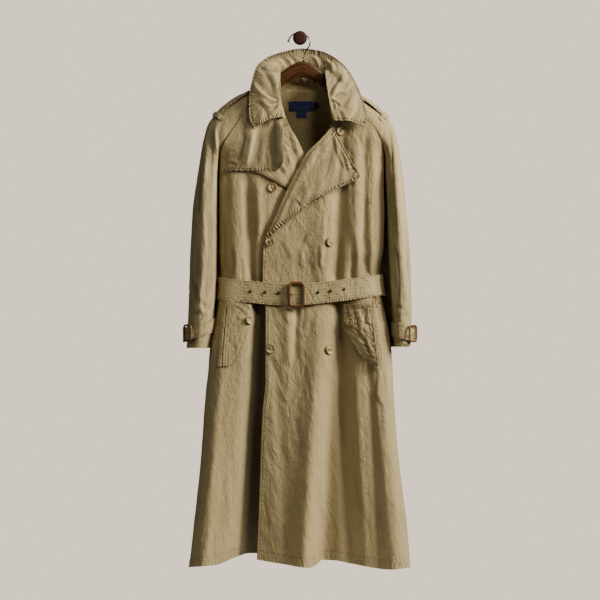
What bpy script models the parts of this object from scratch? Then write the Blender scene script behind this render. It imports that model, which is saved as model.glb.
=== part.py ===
"""A trench coat hanging from a wooden hanger on a wall knob.

Run it with Blender 4.5: blender --background --python part.py
The wall is the plane Y = 0 and the coat hangs in front of it, at negative Y. +X is to the
viewer's right, +Z is up, and the origin is the middle of the knob's flat back face.
Tables and sizes are in millimetres; MM turns them into Blender's metres.
"left" and "right" are the viewer's.
"""

import math
from collections import namedtuple

import bpy
import bmesh
import numpy as np
from mathutils import Vector

MM = 0.001

# ---------------------------------------------------------------- driving sizes, millimetres
CLOTH = 1.8  # panel wall: shell cloth and its facing
UNDERLAP_DEPTH = 7.0  # the covered front lies this far behind the outside of the other
UNDERLAP_ROOM = 4.0  # and this much further behind the lapels
TRIM = 1.4  # wall of flaps, straps and labels
SEAM = 0.3  # gap between pieces that are sewn together
HALF_SEAM = SEAM / 2

NECK_TOP = -130.0  # height of the raglan seams' upper ends
NECK_DIP = 18.0
ARMPIT = -332.0
HEM = -1428.0

KNOB_HEAD_R, KNOB_NECK_R, KNOB_BASE_R = 19.5, 12.4, 16.0
KNOB_BACK, KNOB_HEAD_BACK, KNOB_FRONT = 0.0, -66.0, -84.0
HOOK_R = 1.6
HANG_Y = -62.0  # the hanger's middle plane
HANGER_REACH_LEFT, HANGER_REACH_RIGHT = -219.0, 221.0
BUTTON_R, FLAP_BUTTON_R, BUTTON_THICK = 13.0, 11.3, 3.6
FLAP_SEWN, FLAP_LIFT, WELT_LIFT = 3.0, 3.8, 2.7  # outside of a flap and welt above the front
BUTTON_LIFT, LAPEL_FOOT_LIFT = 0.45, 3.5  # back of a button above the front
BELT_WIDTH, BELT_WALL, BELT_LIFT = 58.0, 2.2, 7.2
BELT_BACK = -668.0  # height of the belt's middle at the back
BELT_END = (-7, 112)  # where the belt's free end starts and stops, degrees round the waist
BUCKLE_X, BUCKLE_BAR, CUFF_BAR = -9.5, 4.2, 2.8
D_RING_X, D_RING_LIFT, D_RING_TALL = 204.0, 8.3, 25.0
STRAP_WIDTH, STRAP_LIFT = 38.0, 2.6
STRAP_LINE = {"left": (-773, -800), "right": (-784, -799)}  # middle at the inner, outer side
CUFF_BUCKLE_FACING = {"left": (-0.8, -0.6, 0), "right": (0.8, -0.6, 0)}
CUFF_SEAT = {"left": 2.0, "right": 0.0}
KEEPER_COLUMN = {"left": 19, "right": 5}
EPAULETTE_HALF = 0.2  # half its width, as a share of the way round the shoulder
EPAULETTE_SEWN = 1.9
LABEL_WALL = 0.8

# ---------------------------------------------------------------- body sections
# One row for each height: side edges, depth of the side seam, depth of the front and back
# faces, and how far the side has turned round under the arm (90 degrees: closed side seam).
Section = namedtuple("Section", "z left right side front back turn")
BODY = [
    Section(-130, -72, 76, -62, -86, -42, 0),
    Section(-160, -104, 107, -63, -98, -36, 0),
    Section(-182, -131, 135, -64, -106, -32, 0),
    Section(-206, -153, 165, -65, -112, -29, 0),
    Section(-235, -173, 195, -67, -118, -26, 0),
    Section(-264, -193, 212, -69, -123, -23, 12),
    Section(-290, -208, 222, -71, -126, -22, 40),
    Section(-312, -216, 226, -73, -128, -21, 68),
    Section(ARMPIT, -219, 228, -74, -129, -20, 90),
    Section(-383, -219, 227, -75, -132, -19, 90),
    Section(-464, -219, 229, -76, -133, -19, 90),
    Section(-572, -218, 225, -75, -130, -18, 90),
    Section(-640, -215, 213, -72, -123, -18, 90),
    Section(-706, -220, 222, -73, -122, -17, 90),
    Section(-772, -231, 236, -76, -127, -16, 90),
    Section(-828, -243, 246, -78, -128, -16, 90),
    Section(-885, -247, 250, -80, -127, -14, 90),
    Section(-969, -256, 254, -82, -125, -13, 90),
    Section(-1147, -269, 268, -86, -121, -11, 90),
    Section(-1304, -286, 288, -90, -119, -9, 90),
    Section(HEM, -300, 299, -94, -118, -8, 90),
]
BODY_SQUARENESS = 3.4  # superellipse exponent of the body's sections
SIDE_TURN = [0, 0.006, 0.022, 0.052]  # columns where a front turns the side, as shares of it

# Inner edges of the fronts: the collar seam, then the lapel's fold, then the buttoned edge.
Edge = namedtuple("Edge", "z x")
LEFT_INNER = [
    Edge(-130, -66), Edge(-180, -50), Edge(-227, -33), Edge(-268, -13), Edge(-310, 7),
    Edge(-365, 28), Edge(-455, 62), Edge(-560, 84), Edge(HEM, 82),
]
RIGHT_INNER = [
    Edge(-130, 70), Edge(-190, 80), Edge(-234, 86), Edge(-256, 74), Edge(-302, 26),
    Edge(-410, -32), Edge(-518, -82), Edge(-552, -98), Edge(-661, -100), Edge(-715, -92),
    Edge(-923, -92), Edge(-1012, -100), Edge(-1236, -108), Edge(HEM, -115),
]

# Folds: a trough has a positive depth (into the coat), a ridge a negative one. Each runs
# from its top point to its low point, "left" and "right" are its flank widths at the low
# end, and "start" is the share of that width at the top end.
Fold = namedtuple("Fold", "x_top z_top x_low z_low left right start top low")
RIGHT_FOLDS = [
    Fold(58, -330, 60, -640, 30, 24, 1.0, -3, -8),
    Fold(122, -250, 120, -560, 17, 20, 1.0, 12, 22),
    Fold(152, -300, 150, -560, 13, 13, 1.0, -3, -6),
    Fold(176, -300, 172, -600, 10, 10, 1.0, 6, 7),
    Fold(198, -240, 196, -620, 14, 16, 1.0, -4, -7),
    Fold(102, -560, 98, -652, 11, 8, 1.0, 9, 14),
    Fold(119, -560, 116, -652, 7, 7, 1.0, -3, -6),
    Fold(143, -570, 140, -652, 9, 9, 1.0, 7, 11),
    Fold(182, -580, 180, -652, 8, 8, 1.0, 5, 8),
    Fold(-110, -716, -135, -1500, 80, 64, 0.4, 0, 26),
    Fold(-34, -716, -30, -850, 16, 14, 0.8, -6, -5),
    Fold(-8, -712, -14, -860, 9, 9, 0.8, 7, 5),
    Fold(-64, -900, -22, -1480, 20, 20, 0.8, 4, 7),
    Fold(54, -716, 6, -1500, 34, 34, 0.8, -4, -36),
    Fold(106, -716, 62, -1500, 30, 54, 0.6, 12, 44),
    Fold(150, -930, 180, -1480, 18, 16, 0.7, -5, -8),
    Fold(186, -900, 229, -1480, 17, 15, 0.7, 8, 16),
    Fold(214, -730, 282, -1500, 46, 34, 0.6, -3, -58),
]
LEFT_FOLDS = [
    Fold(-197, -340, -196, -640, 9, 10, 1.0, 6, 8),
    Fold(-174, -380, -172, -640, 15, 14, 1.0, -4, -8),
    Fold(-143, -392, -130, -645, 13, 14, 1.0, 9, 16),
    Fold(-113, -416, -108, -560, 12, 12, 1.0, -6, -4),
    Fold(-205, -730, -274, -1500, 38, 36, 0.6, -2, -42),
    Fold(-112, -716, -124, -1500, 56, 150, 0.3, 22, 96),
]
BACK_FOLDS = [
    Fold(-150, -420, -165, -620, 18, 18, 1.0, 4, 7),
    Fold(-70, -400, -60, -620, 22, 22, 1.0, 4, 6),
    Fold(60, -400, 66, -620, 22, 22, 1.0, 4, 7),
    Fold(150, -420, 168, -620, 18, 18, 1.0, 4, 6),
    Fold(-150, -716, -205, -1500, 26, 34, 0.7, 5, 16),
    Fold(-40, -716, -66, -1500, 30, 26, 0.7, 5, 13),
    Fold(64, -716, 84, -1500, 26, 36, 0.7, 6, 17),
    Fold(160, -716, 205, -1500, 28, 26, 0.7, 5, 14),
]
FOLD_FADE = 46.0  # length over which a fold dies away past its ends

# Sleeves. Above the armpit each ring runs from the front raglan seam over the shoulder to
# the back one, so it needs only its outermost point; below, it is a whole ring.
Shoulder = namedtuple("Shoulder", "z left_x left_z right_x right_z")
SHOULDERS = [
    Shoulder(-130, -77, -110, 81, -112),
    Shoulder(-160, -113, -131, 117, -133),
    Shoulder(-182, -150, -153, 153, -155),
    Shoulder(-206, -190, -179, 193, -181),
    Shoulder(-235, -226, -205, 228, -207),
    Shoulder(-264, -249, -234, 250, -236),
    Shoulder(-290, -259, -268, 262, -270),
    Shoulder(-312, -266, -302, 268, -304),
    Shoulder(ARMPIT, -271, -334, 273, -334),
]
Arm = namedtuple("Arm", "z left_in left_out right_in right_out side front back")
ARMS = [
    Arm(-383, -222.5, -279, 231, 279, -77, -143, -16),
    Arm(-464, -223, -290, 234, 286, -79, -147, -15),
    Arm(-572, -224, -296, 238, 296, -81, -148, -16),
    Arm(-660, -226, -299, 242, 300, -81, -146, -18),
    Arm(-740, -231, -302, 248, 302, -80, -142, -20),
    Arm(-790, -238, -305, 250, 301, -79, -136, -23),
    Arm(-829, -245, -306, 250, 298, -78, -130, -26),
]

# Collar stations, from the left front end round the neck to the right front end: where it is
# sewn to the neck, the crest where it turns over (or half way up, where it stands), its edge.
Station = namedtuple("Station", "sewn crest edge")
COLLAR = [
    Station((-35, -121, -224), (-46, -139, -212), (-127, -138, -246)),
    Station((-46, -115, -196), (-50, -136, -176), (-138, -130, -204)),
    Station((-57, -104, -164), (-54, -126, -140), (-137, -114, -156)),
    Station((-68, -86, -127), (-53, -106, -103), (-128, -92, -106)),
    Station((-75, -62, -107), (-52, -74, -82), (-117, -64, -76)),
    Station((-68, -44.5, -128.5), (-57, -48, -84), (-92, -46, -54)),
    Station((-34, -40, -143.6), (-34, -36, -88), (-50, -36, -38)),
    Station((2, -39.5, -147.3), (4, -32, -88), (6, -32, -28)),
    Station((38, -40, -142.8), (42, -36, -88), (54, -38, -34)),
    Station((71, -44.5, -128.5), (70, -50, -88), (98, -50, -55)),
    Station((79, -62, -109), (68, -78, -90), (134, -70, -92)),
    Station((73, -86, -129), (72, -110, -124), (157, -96, -134)),
    Station((80, -108, -170), (79, -130, -166), (174, -116, -180)),
    Station((84, -119, -206), (87, -137, -204), (182, -130, -214)),
    Station((87, -122, -226), (93, -140, -222), (172, -139, -240)),
]
BACK_STATION = 7
COLLAR_CROWN = 7.0  # how far the turned-down part bulges between crest and edge

# Lapels: rows from the top to the foot, the fold on one side and the free edge on the other.
LapelRow = namedtuple("LapelRow", "fold_x fold_z edge_x edge_z")
LAPEL_RIGHT = [
    LapelRow(84, -240, 92, -246),
    LapelRow(52, -280, 117, -292),
    LapelRow(20, -312, 141, -338),
    LapelRow(-4, -356, 157, -371),
    LapelRow(-25, -396, 98, -408),
    LapelRow(-46, -440, 34, -446),
    LapelRow(-65, -482, -22, -488),
    LapelRow(-82, -520, -62, -520),
    LapelRow(-96, -549, -90, -548),
]
LAPEL_LEFT = [
    LapelRow(-34, -230, -46, -233),
    LapelRow(-14, -266, -90, -286),
    LapelRow(3, -300, -125, -326),
    LapelRow(13, -328, -138, -352),
    LapelRow(26, -360, -104, -367),
    LapelRow(38, -390, -50, -397),
    LapelRow(50, -422, 0, -428),
    LapelRow(61, -452, 52, -452),
]
Lift = namedtuple("Lift", "fold roll edge")  # distance of a lapel from the front it lies on
LIFT_RIGHT = Lift(2.1, 10.0, 7.0)
LIFT_LEFT = Lift(2.4, 4.9, 5.4)
ROLL_WIDTH = 14.0

STORM_EDGE = [Edge(-150, -64), Edge(-200, -50), Edge(-256, -44), Edge(-318, -44),
              Edge(-338, -47), Edge(-350, -53), Edge(-358, -64)]
STORM_LIFT_SEAM, STORM_LIFT_FREE = 2.4, 9.5

# Pocket flaps and welts as rows of left and right edges.
Strip = namedtuple("Strip", "z left right")
FLAP_LEFT = [Strip(-719, -196, -131), Strip(-762, -200, -125), Strip(-800, -203, -141),
             Strip(-836, -206, -156), Strip(-870, -208, -172), Strip(-886, -209, -190)]
FLAP_RIGHT = [Strip(-719, 118, 190), Strip(-778, 118, 198), Strip(-806, 135, 202),
              Strip(-840, 154, 206), Strip(-868, 176, 210), Strip(-884, 196, 212)]
WELT_LEFT = [Strip(-719, -210, -198), Strip(-800, -217, -205), Strip(-888, -225, -211)]
WELT_RIGHT = [Strip(-719, 192, 205), Strip(-800, 204, 217), Strip(-886, 214, 228)]

BELT_LINE = [Edge(-667, 213), Edge(-675, 165), Edge(-684, 93), Edge(-692, 12),
             Edge(-693, -33), Edge(-684, -148), Edge(-676, -218)]  # the belt's middle, sagging

Spot = namedtuple("Spot", "name x z")
BUTTONS = [  # on the overlapping right front
    Spot("button_top_right", 109, -250), Spot("button_lapel", -81, -549),
    Spot("button_chest_right", 81, -550), Spot("button_low_left", -79, -839),
    Spot("button_low_right", 78, -841),
]
UNDER_BUTTON = Spot("button_top_left", -74, -403)
FLAP_BUTTONS = [Spot("button_pocket_left", -140, -762), Spot("button_pocket_right", 139, -767)]


# ---------------------------------------------------------------- scene and materials
def clear_scene():
    for obj in list(bpy.data.objects):
        bpy.data.objects.remove(obj, do_unlink=True)


def new_collection(name):
    made = bpy.data.collections.new(name)
    bpy.context.scene.collection.children.link(made)
    return made


def material(name, colour, roughness, metallic=0.0):
    made = bpy.data.materials.new(name)
    made.use_nodes = True
    shader = made.node_tree.nodes["Principled BSDF"]
    shader.inputs["Base Color"].default_value = (*colour, 1.0)
    shader.inputs["Roughness"].default_value = roughness
    shader.inputs["Metallic"].default_value = metallic
    return made


def add_object(name, data, finish):
    obj = bpy.data.objects.new(name, data)
    COAT.objects.link(obj)
    data.materials.append(finish)
    return obj


# ---------------------------------------------------------------- curves through table columns
def smooth_column(at, values, where):
    """A smooth curve through (at, values), without overshoot, read at "where"."""
    at, values = np.asarray(at, float), np.asarray(values, float)
    if at[0] > at[-1]:
        at, values = at[::-1], values[::-1]
    step = np.diff(at)
    slope = np.diff(values) / step
    before, after = slope[:-1], slope[1:]
    same_way = before * after > 0
    inner = np.where(same_way, 2 * before * after / np.where(same_way, before + after, 1), 0)
    tangent = np.concatenate([slope[:1], inner, slope[-1:]])
    where = np.clip(where, at[0], at[-1])
    k = np.clip(np.searchsorted(at, where) - 1, 0, len(step) - 1)
    t = (where - at[k]) / step[k]
    return (
        values[k] * (1 + 2 * t) * (1 - t) ** 2
        + values[k + 1] * t * t * (3 - 2 * t)
        + step[k] * t * (1 - t) * (tangent[k] * (1 - t) - tangent[k + 1] * t)
    )


def by_height(table, name, z):
    return smooth_column([row.z for row in table], [getattr(row, name) for row in table], z)


def through(points, where):
    """A smooth curve through 3-D points, read at fractional indices."""
    points = np.asarray(points, float)
    index = np.arange(len(points))
    return np.stack([smooth_column(index, points[:, k], where) for k in range(3)], -1)


def smoothstep(t):
    t = np.clip(t, 0, 1)
    return t * t * (3 - 2 * t)


def fold_depth(folds, x, z):
    """Sum of the folds' depths at (x, z)."""
    total = np.zeros(np.broadcast(x, z).shape)
    for fold in folds:
        length = fold.z_top - fold.z_low
        t = (fold.z_top - z) / length
        along = np.clip(t, 0, 1)
        off = x - (fold.x_top + (fold.x_low - fold.x_top) * along)
        width = np.where(off < 0, fold.left, fold.right)
        width = width * (fold.start + (1 - fold.start) * along)
        past = np.maximum(-t, t - 1) * length
        fade = 1 - smoothstep(past / FOLD_FADE)
        depth = fold.top + (fold.low - fold.top) * along
        total = total + depth * fade * np.exp(-((off / width) ** 2))
    return total


# ---------------------------------------------------------------- the coat's surfaces
def roundness(x, z):
    """1 on the flat of a section, 0 at the side seam."""
    left, right = by_height(BODY, "left", z), by_height(BODY, "right", z)
    share = np.abs(2 * x - left - right) / (right - left)
    return (1 - np.clip(share, 0, 1) ** BODY_SQUARENESS) ** (1 / BODY_SQUARENESS)


def side_seam_y(z, face):
    """Depth of the seam along a side of the front or back panel: it goes from that panel's
    own face, at the shoulder, round to the middle, under the arm."""
    side, flat = by_height(BODY, "side", z), by_height(BODY, face, z)
    return side + (flat - side) * np.cos(np.radians(by_height(BODY, "turn", z)))


def face_y(x, z, face, folds):
    seam, flat = side_seam_y(z, face), by_height(BODY, face, z)
    bend = roundness(x, z)
    below_shoulder = smoothstep((-200 - z) / 60)
    return seam + (flat - seam) * bend + fold_depth(folds, x, z) * bend * below_shoulder


def right_front_y(x, z):
    return face_y(x, z, "front", RIGHT_FOLDS)


def left_front_y(x, z):
    """The left front, kept behind the overlapping right front wherever that covers it."""
    own = face_y(x, z, "front", LEFT_FOLDS)
    covered = smoothstep((x - by_height(RIGHT_INNER, "x", z) + 34) / 30)
    slope = (right_front_y(x + 2, z) - right_front_y(x - 2, z)) / 4
    gap = UNDERLAP_DEPTH + UNDERLAP_ROOM * smoothstep((z + 480) / 40)
    behind = right_front_y(x, z) + gap * np.hypot(1, slope)
    later = 0.5 * (own + behind + np.sqrt((own - behind) ** 2 + 4.0))
    return own + (later - own) * covered * smoothstep((-205 - z) / 40)


def back_y(x, z):
    return face_y(x, z, "back", [fold._replace(top=-fold.top, low=-fold.low) for fold in BACK_FOLDS])


def side_spread(count):
    """Shares from the side (0) to the inner edge (1), closest together where the side turns."""
    return np.concatenate([SIDE_TURN, np.linspace(2 * SIDE_TURN[-1], 1, count - len(SIDE_TURN))])


def front_panel(levels, side, inner, front, count):
    """Points of a front, a row for each height, columns from the side seam inwards."""
    z = np.asarray(levels)[:, None]
    seam = by_height(BODY, side, z)
    seam = seam - HALF_SEAM * np.sign(seam)
    x = seam + (by_height(inner, "x", z) - seam) * side_spread(count)
    y = front(x, z)
    turn = np.radians(by_height(BODY, "turn", z[:, 0]))
    y[:, 0] = side_seam_y(z[:, 0], "front") - SEAM * np.sin(turn)
    return np.stack([x, y, np.broadcast_to(z, x.shape)], -1)


def back_neckline(x):
    """Height of the back's upper edge: it dips at the middle of the neck."""
    return NECK_TOP - NECK_DIP * np.clip(1 - (x / 74) ** 2, 0, 1)


def back_panel(levels, count):
    z = np.asarray(levels)[:, None]
    left, right = by_height(BODY, "left", z) + HALF_SEAM, by_height(BODY, "right", z) - HALF_SEAM
    even = np.linspace(0, 1, count)
    share = 0.4 * even + 0.6 * (0.5 - 0.5 * np.cos(even * math.pi))
    share[1], share[-2] = 0.003, 0.997
    x = left + (right - left) * share
    z = np.minimum(z, back_neckline(x))
    y = back_y(x, z)
    turn = np.radians(by_height(BODY, "turn", z[:, 0]))
    y[:, 0] = y[:, -1] = side_seam_y(z[:, 0], "back") + SEAM * np.sin(turn)
    return np.stack([x, y, z], -1)


def on_panel(panel):
    """Depth of a panel's own facets at (x, z), as a function."""
    heights = -panel[:, 0, 2]

    def depth(x, z):
        x, z = np.broadcast_arrays(np.asarray(x, float), np.asarray(z, float))
        row = np.clip(np.searchsorted(heights, -z) - 1, 0, len(heights) - 2)
        share = np.clip((-z - heights[row]) / (heights[row + 1] - heights[row]), 0, 1)
        found = np.empty(x.shape)
        for at in np.ndindex(x.shape):
            ends = []
            for k in (row[at], row[at] + 1):
                order = np.argsort(panel[k, :, 0])
                ends.append(np.interp(x[at], panel[k, order, 0], panel[k, order, 1]))
            found[at] = ends[0] + (ends[1] - ends[0]) * share[at]
        return found

    return depth


def sleeve_rings(side):
    """Ring sizes for the whole sleeve: seam point, outer point, depths and turn."""
    rows = []
    for row in SHOULDERS:
        section = {name: float(by_height(BODY, name, row.z)) for name in Section._fields}
        shift = SEAM if side == "right" else -SEAM
        out_x, out_z = getattr(row, side + "_x"), getattr(row, side + "_z")
        rows.append((section[side] + shift, row.z, out_x, out_z, section["side"],
                     section["front"], section["back"], section["turn"]))
    for row in ARMS:
        rows.append((getattr(row, side + "_in"), row.z, getattr(row, side + "_out"), row.z,
                     row.side, row.front, row.back, 90))
    return np.array(rows, float)


def sleeve_points(side, along, around):
    """Points of a sleeve at fractional ring numbers "along"; "around" goes from 0 at the
    front seam to 1 at the back seam."""
    rings = sleeve_rings(side)
    index = np.arange(len(rings))
    columns = [smooth_column(index, rings[:, k], along)[:, None] for k in range(8)]
    in_x, in_z, out_x, out_z, mid, front, back, turn = columns
    turn = np.radians(turn)
    reach = np.sin(turn)
    centre_x = (in_x + reach * out_x) / (1 + reach)
    centre_z = (in_z + reach * out_z) / (1 + reach)
    gap = np.arcsin(np.clip(HALF_SEAM / np.maximum(mid - front, 1), 0, 1)) * reach
    angle = -turn + gap + np.asarray(around)[None, :] * (math.pi + 2 * turn - 2 * gap)
    bow = np.cos(angle)
    depth = np.where(bow > 0, mid - (mid - front) * bow, mid - (back - mid) * bow)
    x = centre_x + np.sin(angle) * (out_x - centre_x)
    z = centre_z + np.sin(angle) * (out_z - centre_z)
    return np.stack([x, depth, z], -1)


# ---------------------------------------------------------------- making solids
def grid_mesh(name, points, flip=False, closed=False):
    """A mesh of quads over rows and columns of points; "closed" joins the last column to
    the first."""
    if flip:
        points = points[:, ::-1]
    rows, columns = points.shape[:2]
    work = bmesh.new()
    verts = [[work.verts.new(tuple(p * MM)) for p in row] for row in points]
    for i in range(rows - 1):
        for j in range(columns if closed else columns - 1):
            k = (j + 1) % columns
            work.faces.new((verts[i][j], verts[i + 1][j], verts[i + 1][k], verts[i][k]))
    mesh = bpy.data.meshes.new(name)
    work.to_mesh(mesh)
    work.free()
    mesh.shade_smooth()
    return mesh


def cloth(name, points, finish, wall=CLOTH, flip=False, closed=False):
    """A cloth piece: an open surface given its wall on the inner side."""
    obj = add_object(name, grid_mesh(name, points, flip, closed), finish)
    wall_modifier = obj.modifiers.new("Wall", "SOLIDIFY")
    wall_modifier.thickness = wall * MM
    wall_modifier.offset = -1
    return obj


def raised(points, distance, flip=False):
    """A grid of points moved outward, along the surface's own normals."""
    normal = np.cross(np.gradient(points, axis=0), np.gradient(points, axis=1))
    normal /= np.maximum(np.linalg.norm(normal, axis=2, keepdims=True), 1e-9)
    if flip:
        normal = -normal
    return points + normal * np.broadcast_to(distance, points.shape[:2])[..., None]


def turned(name, profile, finish, segments=20):
    """A turned solid about its own +Z, from a profile of (radius, height), top to bottom."""
    mesh = bpy.data.meshes.new(name)
    points = [(r * MM, 0, h * MM) for r, h in profile]
    mesh.from_pydata(points, [(k, k + 1) for k in range(len(points) - 1)], [])
    obj = add_object(name, mesh, finish)
    screw = obj.modifiers.new("Turn", "SCREW")
    screw.steps = screw.render_steps = segments
    screw.use_merge_vertices = True
    screw.merge_threshold = 0.00005
    screw.use_normal_calculate = True
    return obj


def face_towards(obj, place, normal):
    obj.location = [c * MM for c in place]
    obj.rotation_mode = "QUATERNION"
    obj.rotation_quaternion = Vector(normal).to_track_quat("Z", "Y")


def wire(name, points, radius, finish, closed=False, ends=None):
    """A round wire or bar through points; "ends" scales the radius at each point."""
    curve = bpy.data.curves.new(name, "CURVE")
    curve.dimensions = "3D"
    curve.bevel_depth = radius * MM
    curve.bevel_resolution = 2
    curve.use_fill_caps = True
    spline = curve.splines.new("POLY")
    spline.points.add(len(points) - 1)
    for k, point in enumerate(points):
        spline.points[k].co = (*[c * MM for c in point], 1)
        spline.points[k].radius = 1 if ends is None else ends[k]
    spline.use_cyclic_u = closed
    return add_object(name, curve, finish)


def rounded_frame(name, centre, facing, width, height, corner, bar, finish):
    """A closed frame of round bar: a rectangle with round corners, facing a direction."""
    side = np.cross((0.0, 0.0, 1.0), facing)
    side /= np.linalg.norm(side)
    up = np.cross(np.array(facing, float), side)
    up /= np.linalg.norm(up)
    points = []
    for quarter in range(4):
        across = (width / 2 - corner) * (1 if quarter in (0, 3) else -1)
        rise = (height / 2 - corner) * (1 if quarter < 2 else -1)
        for step in range(3):
            a = math.pi / 2 * (quarter + step / 2)
            points.append(np.array(centre) + side * (across + corner * math.cos(a))
                          + up * (rise + corner * math.sin(a)))
    return wire(name, points, bar, finish, closed=True)


# ---------------------------------------------------------------- wall knob, hook and hanger
def build_knob():
    profile = [(0, KNOB_FRONT - 1.5), (9, KNOB_FRONT - 1.2), (15, KNOB_FRONT), (18.6, KNOB_FRONT + 4),
               (KNOB_HEAD_R, KNOB_FRONT + 9), (18.6, KNOB_FRONT + 14), (14.5, KNOB_HEAD_BACK),
               (KNOB_NECK_R, KNOB_HEAD_BACK + 3), (KNOB_NECK_R, -8), (KNOB_BASE_R, -5),
               (KNOB_BASE_R, KNOB_BACK), (0, KNOB_BACK)]
    knob = turned("wall_knob", [(r, -y) for r, y in profile], KNOB_WOOD, 18)
    face_towards(knob, (0, 0, 0), (0, -1, 0))


def hook_route():
    """Over the knob's neck in an arc, then back in to the stem above the hanger."""
    centre_x, centre_z, radius = -2.0, -15.3, 30.0
    arc = [math.radians(a) for a in np.linspace(170, 12, 13)]
    route = [(centre_x + radius * math.cos(a), centre_z + radius * math.sin(a)) for a in arc]
    route += [(26.5, -17), (21.5, -27), (15.5, -36), (11.6, -45), (10.8, -54), (10.8, -62.2)]
    return [(x, HANG_Y + 1.5, z) for x, z in route]


def build_hook():
    route = hook_route()
    tip = [1.7, 1.5]
    wire("hanger_hook", route, HOOK_R, STEEL, ends=tip + [1.0] * (len(route) - len(tip)))


def hanger_top(x):
    """The hanger's upper edge: an arch in the neck, then close under the shoulders."""
    ridge = [(row.left_x, row.left_z) for row in SHOULDERS[4::-1]]
    ridge += [(row.right_x, row.right_z) for row in SHOULDERS[:5]]
    inside = np.interp(x, *zip(*ridge)) - 1.25 * CLOTH - 1.1
    arch = -61.9 - 0.0070 * (x - 6) ** 2 - 0.16 * np.abs(x - 6)
    return np.where(np.abs(x) < 68, arch, inside)


def build_hanger():
    shares = [0.04, 0.11, 0.2, 0.3, 0.33, 0.42, 0.54, 0.66, 0.78, 0.9, 1]
    rings = []
    for share in [-s for s in reversed(shares)] + shares:
        x = share * (HANGER_REACH_RIGHT if share > 0 else -HANGER_REACH_LEFT)
        top = float(hanger_top(x))
        tall = 26 + 18 * math.exp(-((x / 90) ** 2))
        deep = 7.5 if abs(share) < 1 else 5.0
        ring = []
        for a in np.linspace(0, 2 * math.pi, 12, endpoint=False):
            side, up = math.cos(a), math.sin(a)
            ring.append((x, HANG_Y + deep * math.copysign(abs(side) ** 0.7, side),
                         top - tall / 2 + tall / 2 * math.copysign(abs(up) ** 0.75, up)))
        rings.append(ring)
    mesh = grid_mesh("hanger", np.array(rings), closed=True)
    work = bmesh.new()
    work.from_mesh(mesh)
    bmesh.ops.holes_fill(work, edges=[e for e in work.edges if e.is_boundary])
    bmesh.ops.recalc_face_normals(work, faces=work.faces)
    work.to_mesh(mesh)
    work.free()
    add_object("hanger", mesh, HANGER_WOOD)


# ---------------------------------------------------------------- panels
def body_levels():
    """Row heights: the raglan seam's rings, then down to the hem, closer round the belt."""
    upper = [row.z for row in SHOULDERS]
    lower = [-370, -412, -458, -505, -552, -600, -640, -684, -722, -772, -830, -890, -960, -1040,
             -1120, -1200, -1280, -1360, HEM]
    return upper + lower


def build_panels():
    """The three body panels; what lies on them is placed by the functions returned."""
    levels = body_levels()
    left = front_panel(levels, "left", LEFT_INNER, left_front_y, 18)
    cloth("front_left", left, KHAKI)
    right = front_panel(levels, "right", RIGHT_INNER, right_front_y, 22)
    cloth("front_right", right, KHAKI, flip=True)
    back = back_panel(levels, 14)
    cloth("back", back, KHAKI, flip=True)
    return on_panel(left), on_panel(right), on_panel(back)


def build_sleeves():
    shoulder = np.arange(len(SHOULDERS))
    arm = [9, 9.6, 10.2, 10.8, 11.4, 12, 12.6, 13.3, 14.1, 15]
    along = np.concatenate([shoulder, arm])
    around = np.linspace(0, 1, 17)
    cloth("sleeve_left", sleeve_points("left", along, around), KHAKI, flip=True)
    cloth("sleeve_right", sleeve_points("right", along, around), KHAKI)


def collar_points(where, up):
    """Collar surface: "where" counts stations round the neck, "up" goes 0 to 1 from the
    neck seam over the crest to the free edge."""
    sewn, crest, edge = (through([getattr(s, part) for s in COLLAR], where)
                         for part in ("sewn", "crest", "edge"))
    turned_down = 1 - np.exp(-(((where - BACK_STATION) / 2.6) ** 2))
    zero = 0 * where
    middle = (crest + edge) / 2 + COLLAR_CROWN * np.stack(
        [zero, -0.8 * turned_down, turned_down], -1)
    stand = (sewn + crest) / 2 + np.stack([zero, zero, 4 * turned_down], -1)
    knots = np.stack([sewn, stand, crest, middle, edge], 0)
    heights = np.array([0, 0.16, 0.34, 0.66, 1])
    return np.stack([np.stack([smooth_column(heights, knots[:, j, k], up) for k in range(3)], -1)
                     for j in range(len(where))], 1)


def build_collar():
    where = np.linspace(0, len(COLLAR) - 1, 29)
    up = np.array([0, 0.16, 0.26, 0.34, 0.44, 0.6, 0.8, 1])
    cloth("collar", collar_points(where, up), KHAKI, flip=True)


def lapel_points(table, front, lift, along, across):
    """A turned-back lapel: "along" counts the table's rows, "across" goes from the fold
    (0) to the free edge (1)."""
    index = np.arange(len(table))
    columns = [smooth_column(index, [row[k] for row in table], along)[:, None] for k in range(4)]
    fold_x, fold_z, edge_x, edge_z = columns
    x = fold_x + (edge_x - fold_x) * across
    z = fold_z + (edge_z - fold_z) * across
    rise = smoothstep(np.hypot(x - fold_x, z - fold_z) / ROLL_WIDTH)
    lifted = lift.fold + (lift.roll - lift.fold) * rise + (lift.edge - lift.roll) * rise * across
    ends = smoothstep(np.minimum(along[:, None], index[-1] - along[:, None]) / 1.2)
    lifted = lift.fold + (lifted - lift.fold) * ends
    slope = (front(x + 1, z) - front(x - 1, z)) / 2
    return np.stack([x, front(x, z) - lifted * np.hypot(1, slope), z], -1)


def build_lapels():
    across = np.array([0, 0.08, 0.2, 0.36, 0.52, 0.68, 0.84, 1])
    along = np.linspace(0, len(LAPEL_RIGHT) - 1, 17)
    cloth("lapel_right", lapel_points(LAPEL_RIGHT, RIGHT_FRONT, LIFT_RIGHT, along, across),
          KHAKI, TRIM)
    along = np.linspace(0, len(LAPEL_LEFT) - 1, 14)
    cloth("lapel_left", lapel_points(LAPEL_LEFT, LEFT_FRONT, LIFT_LEFT, along, across),
          KHAKI, TRIM, flip=True)


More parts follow.
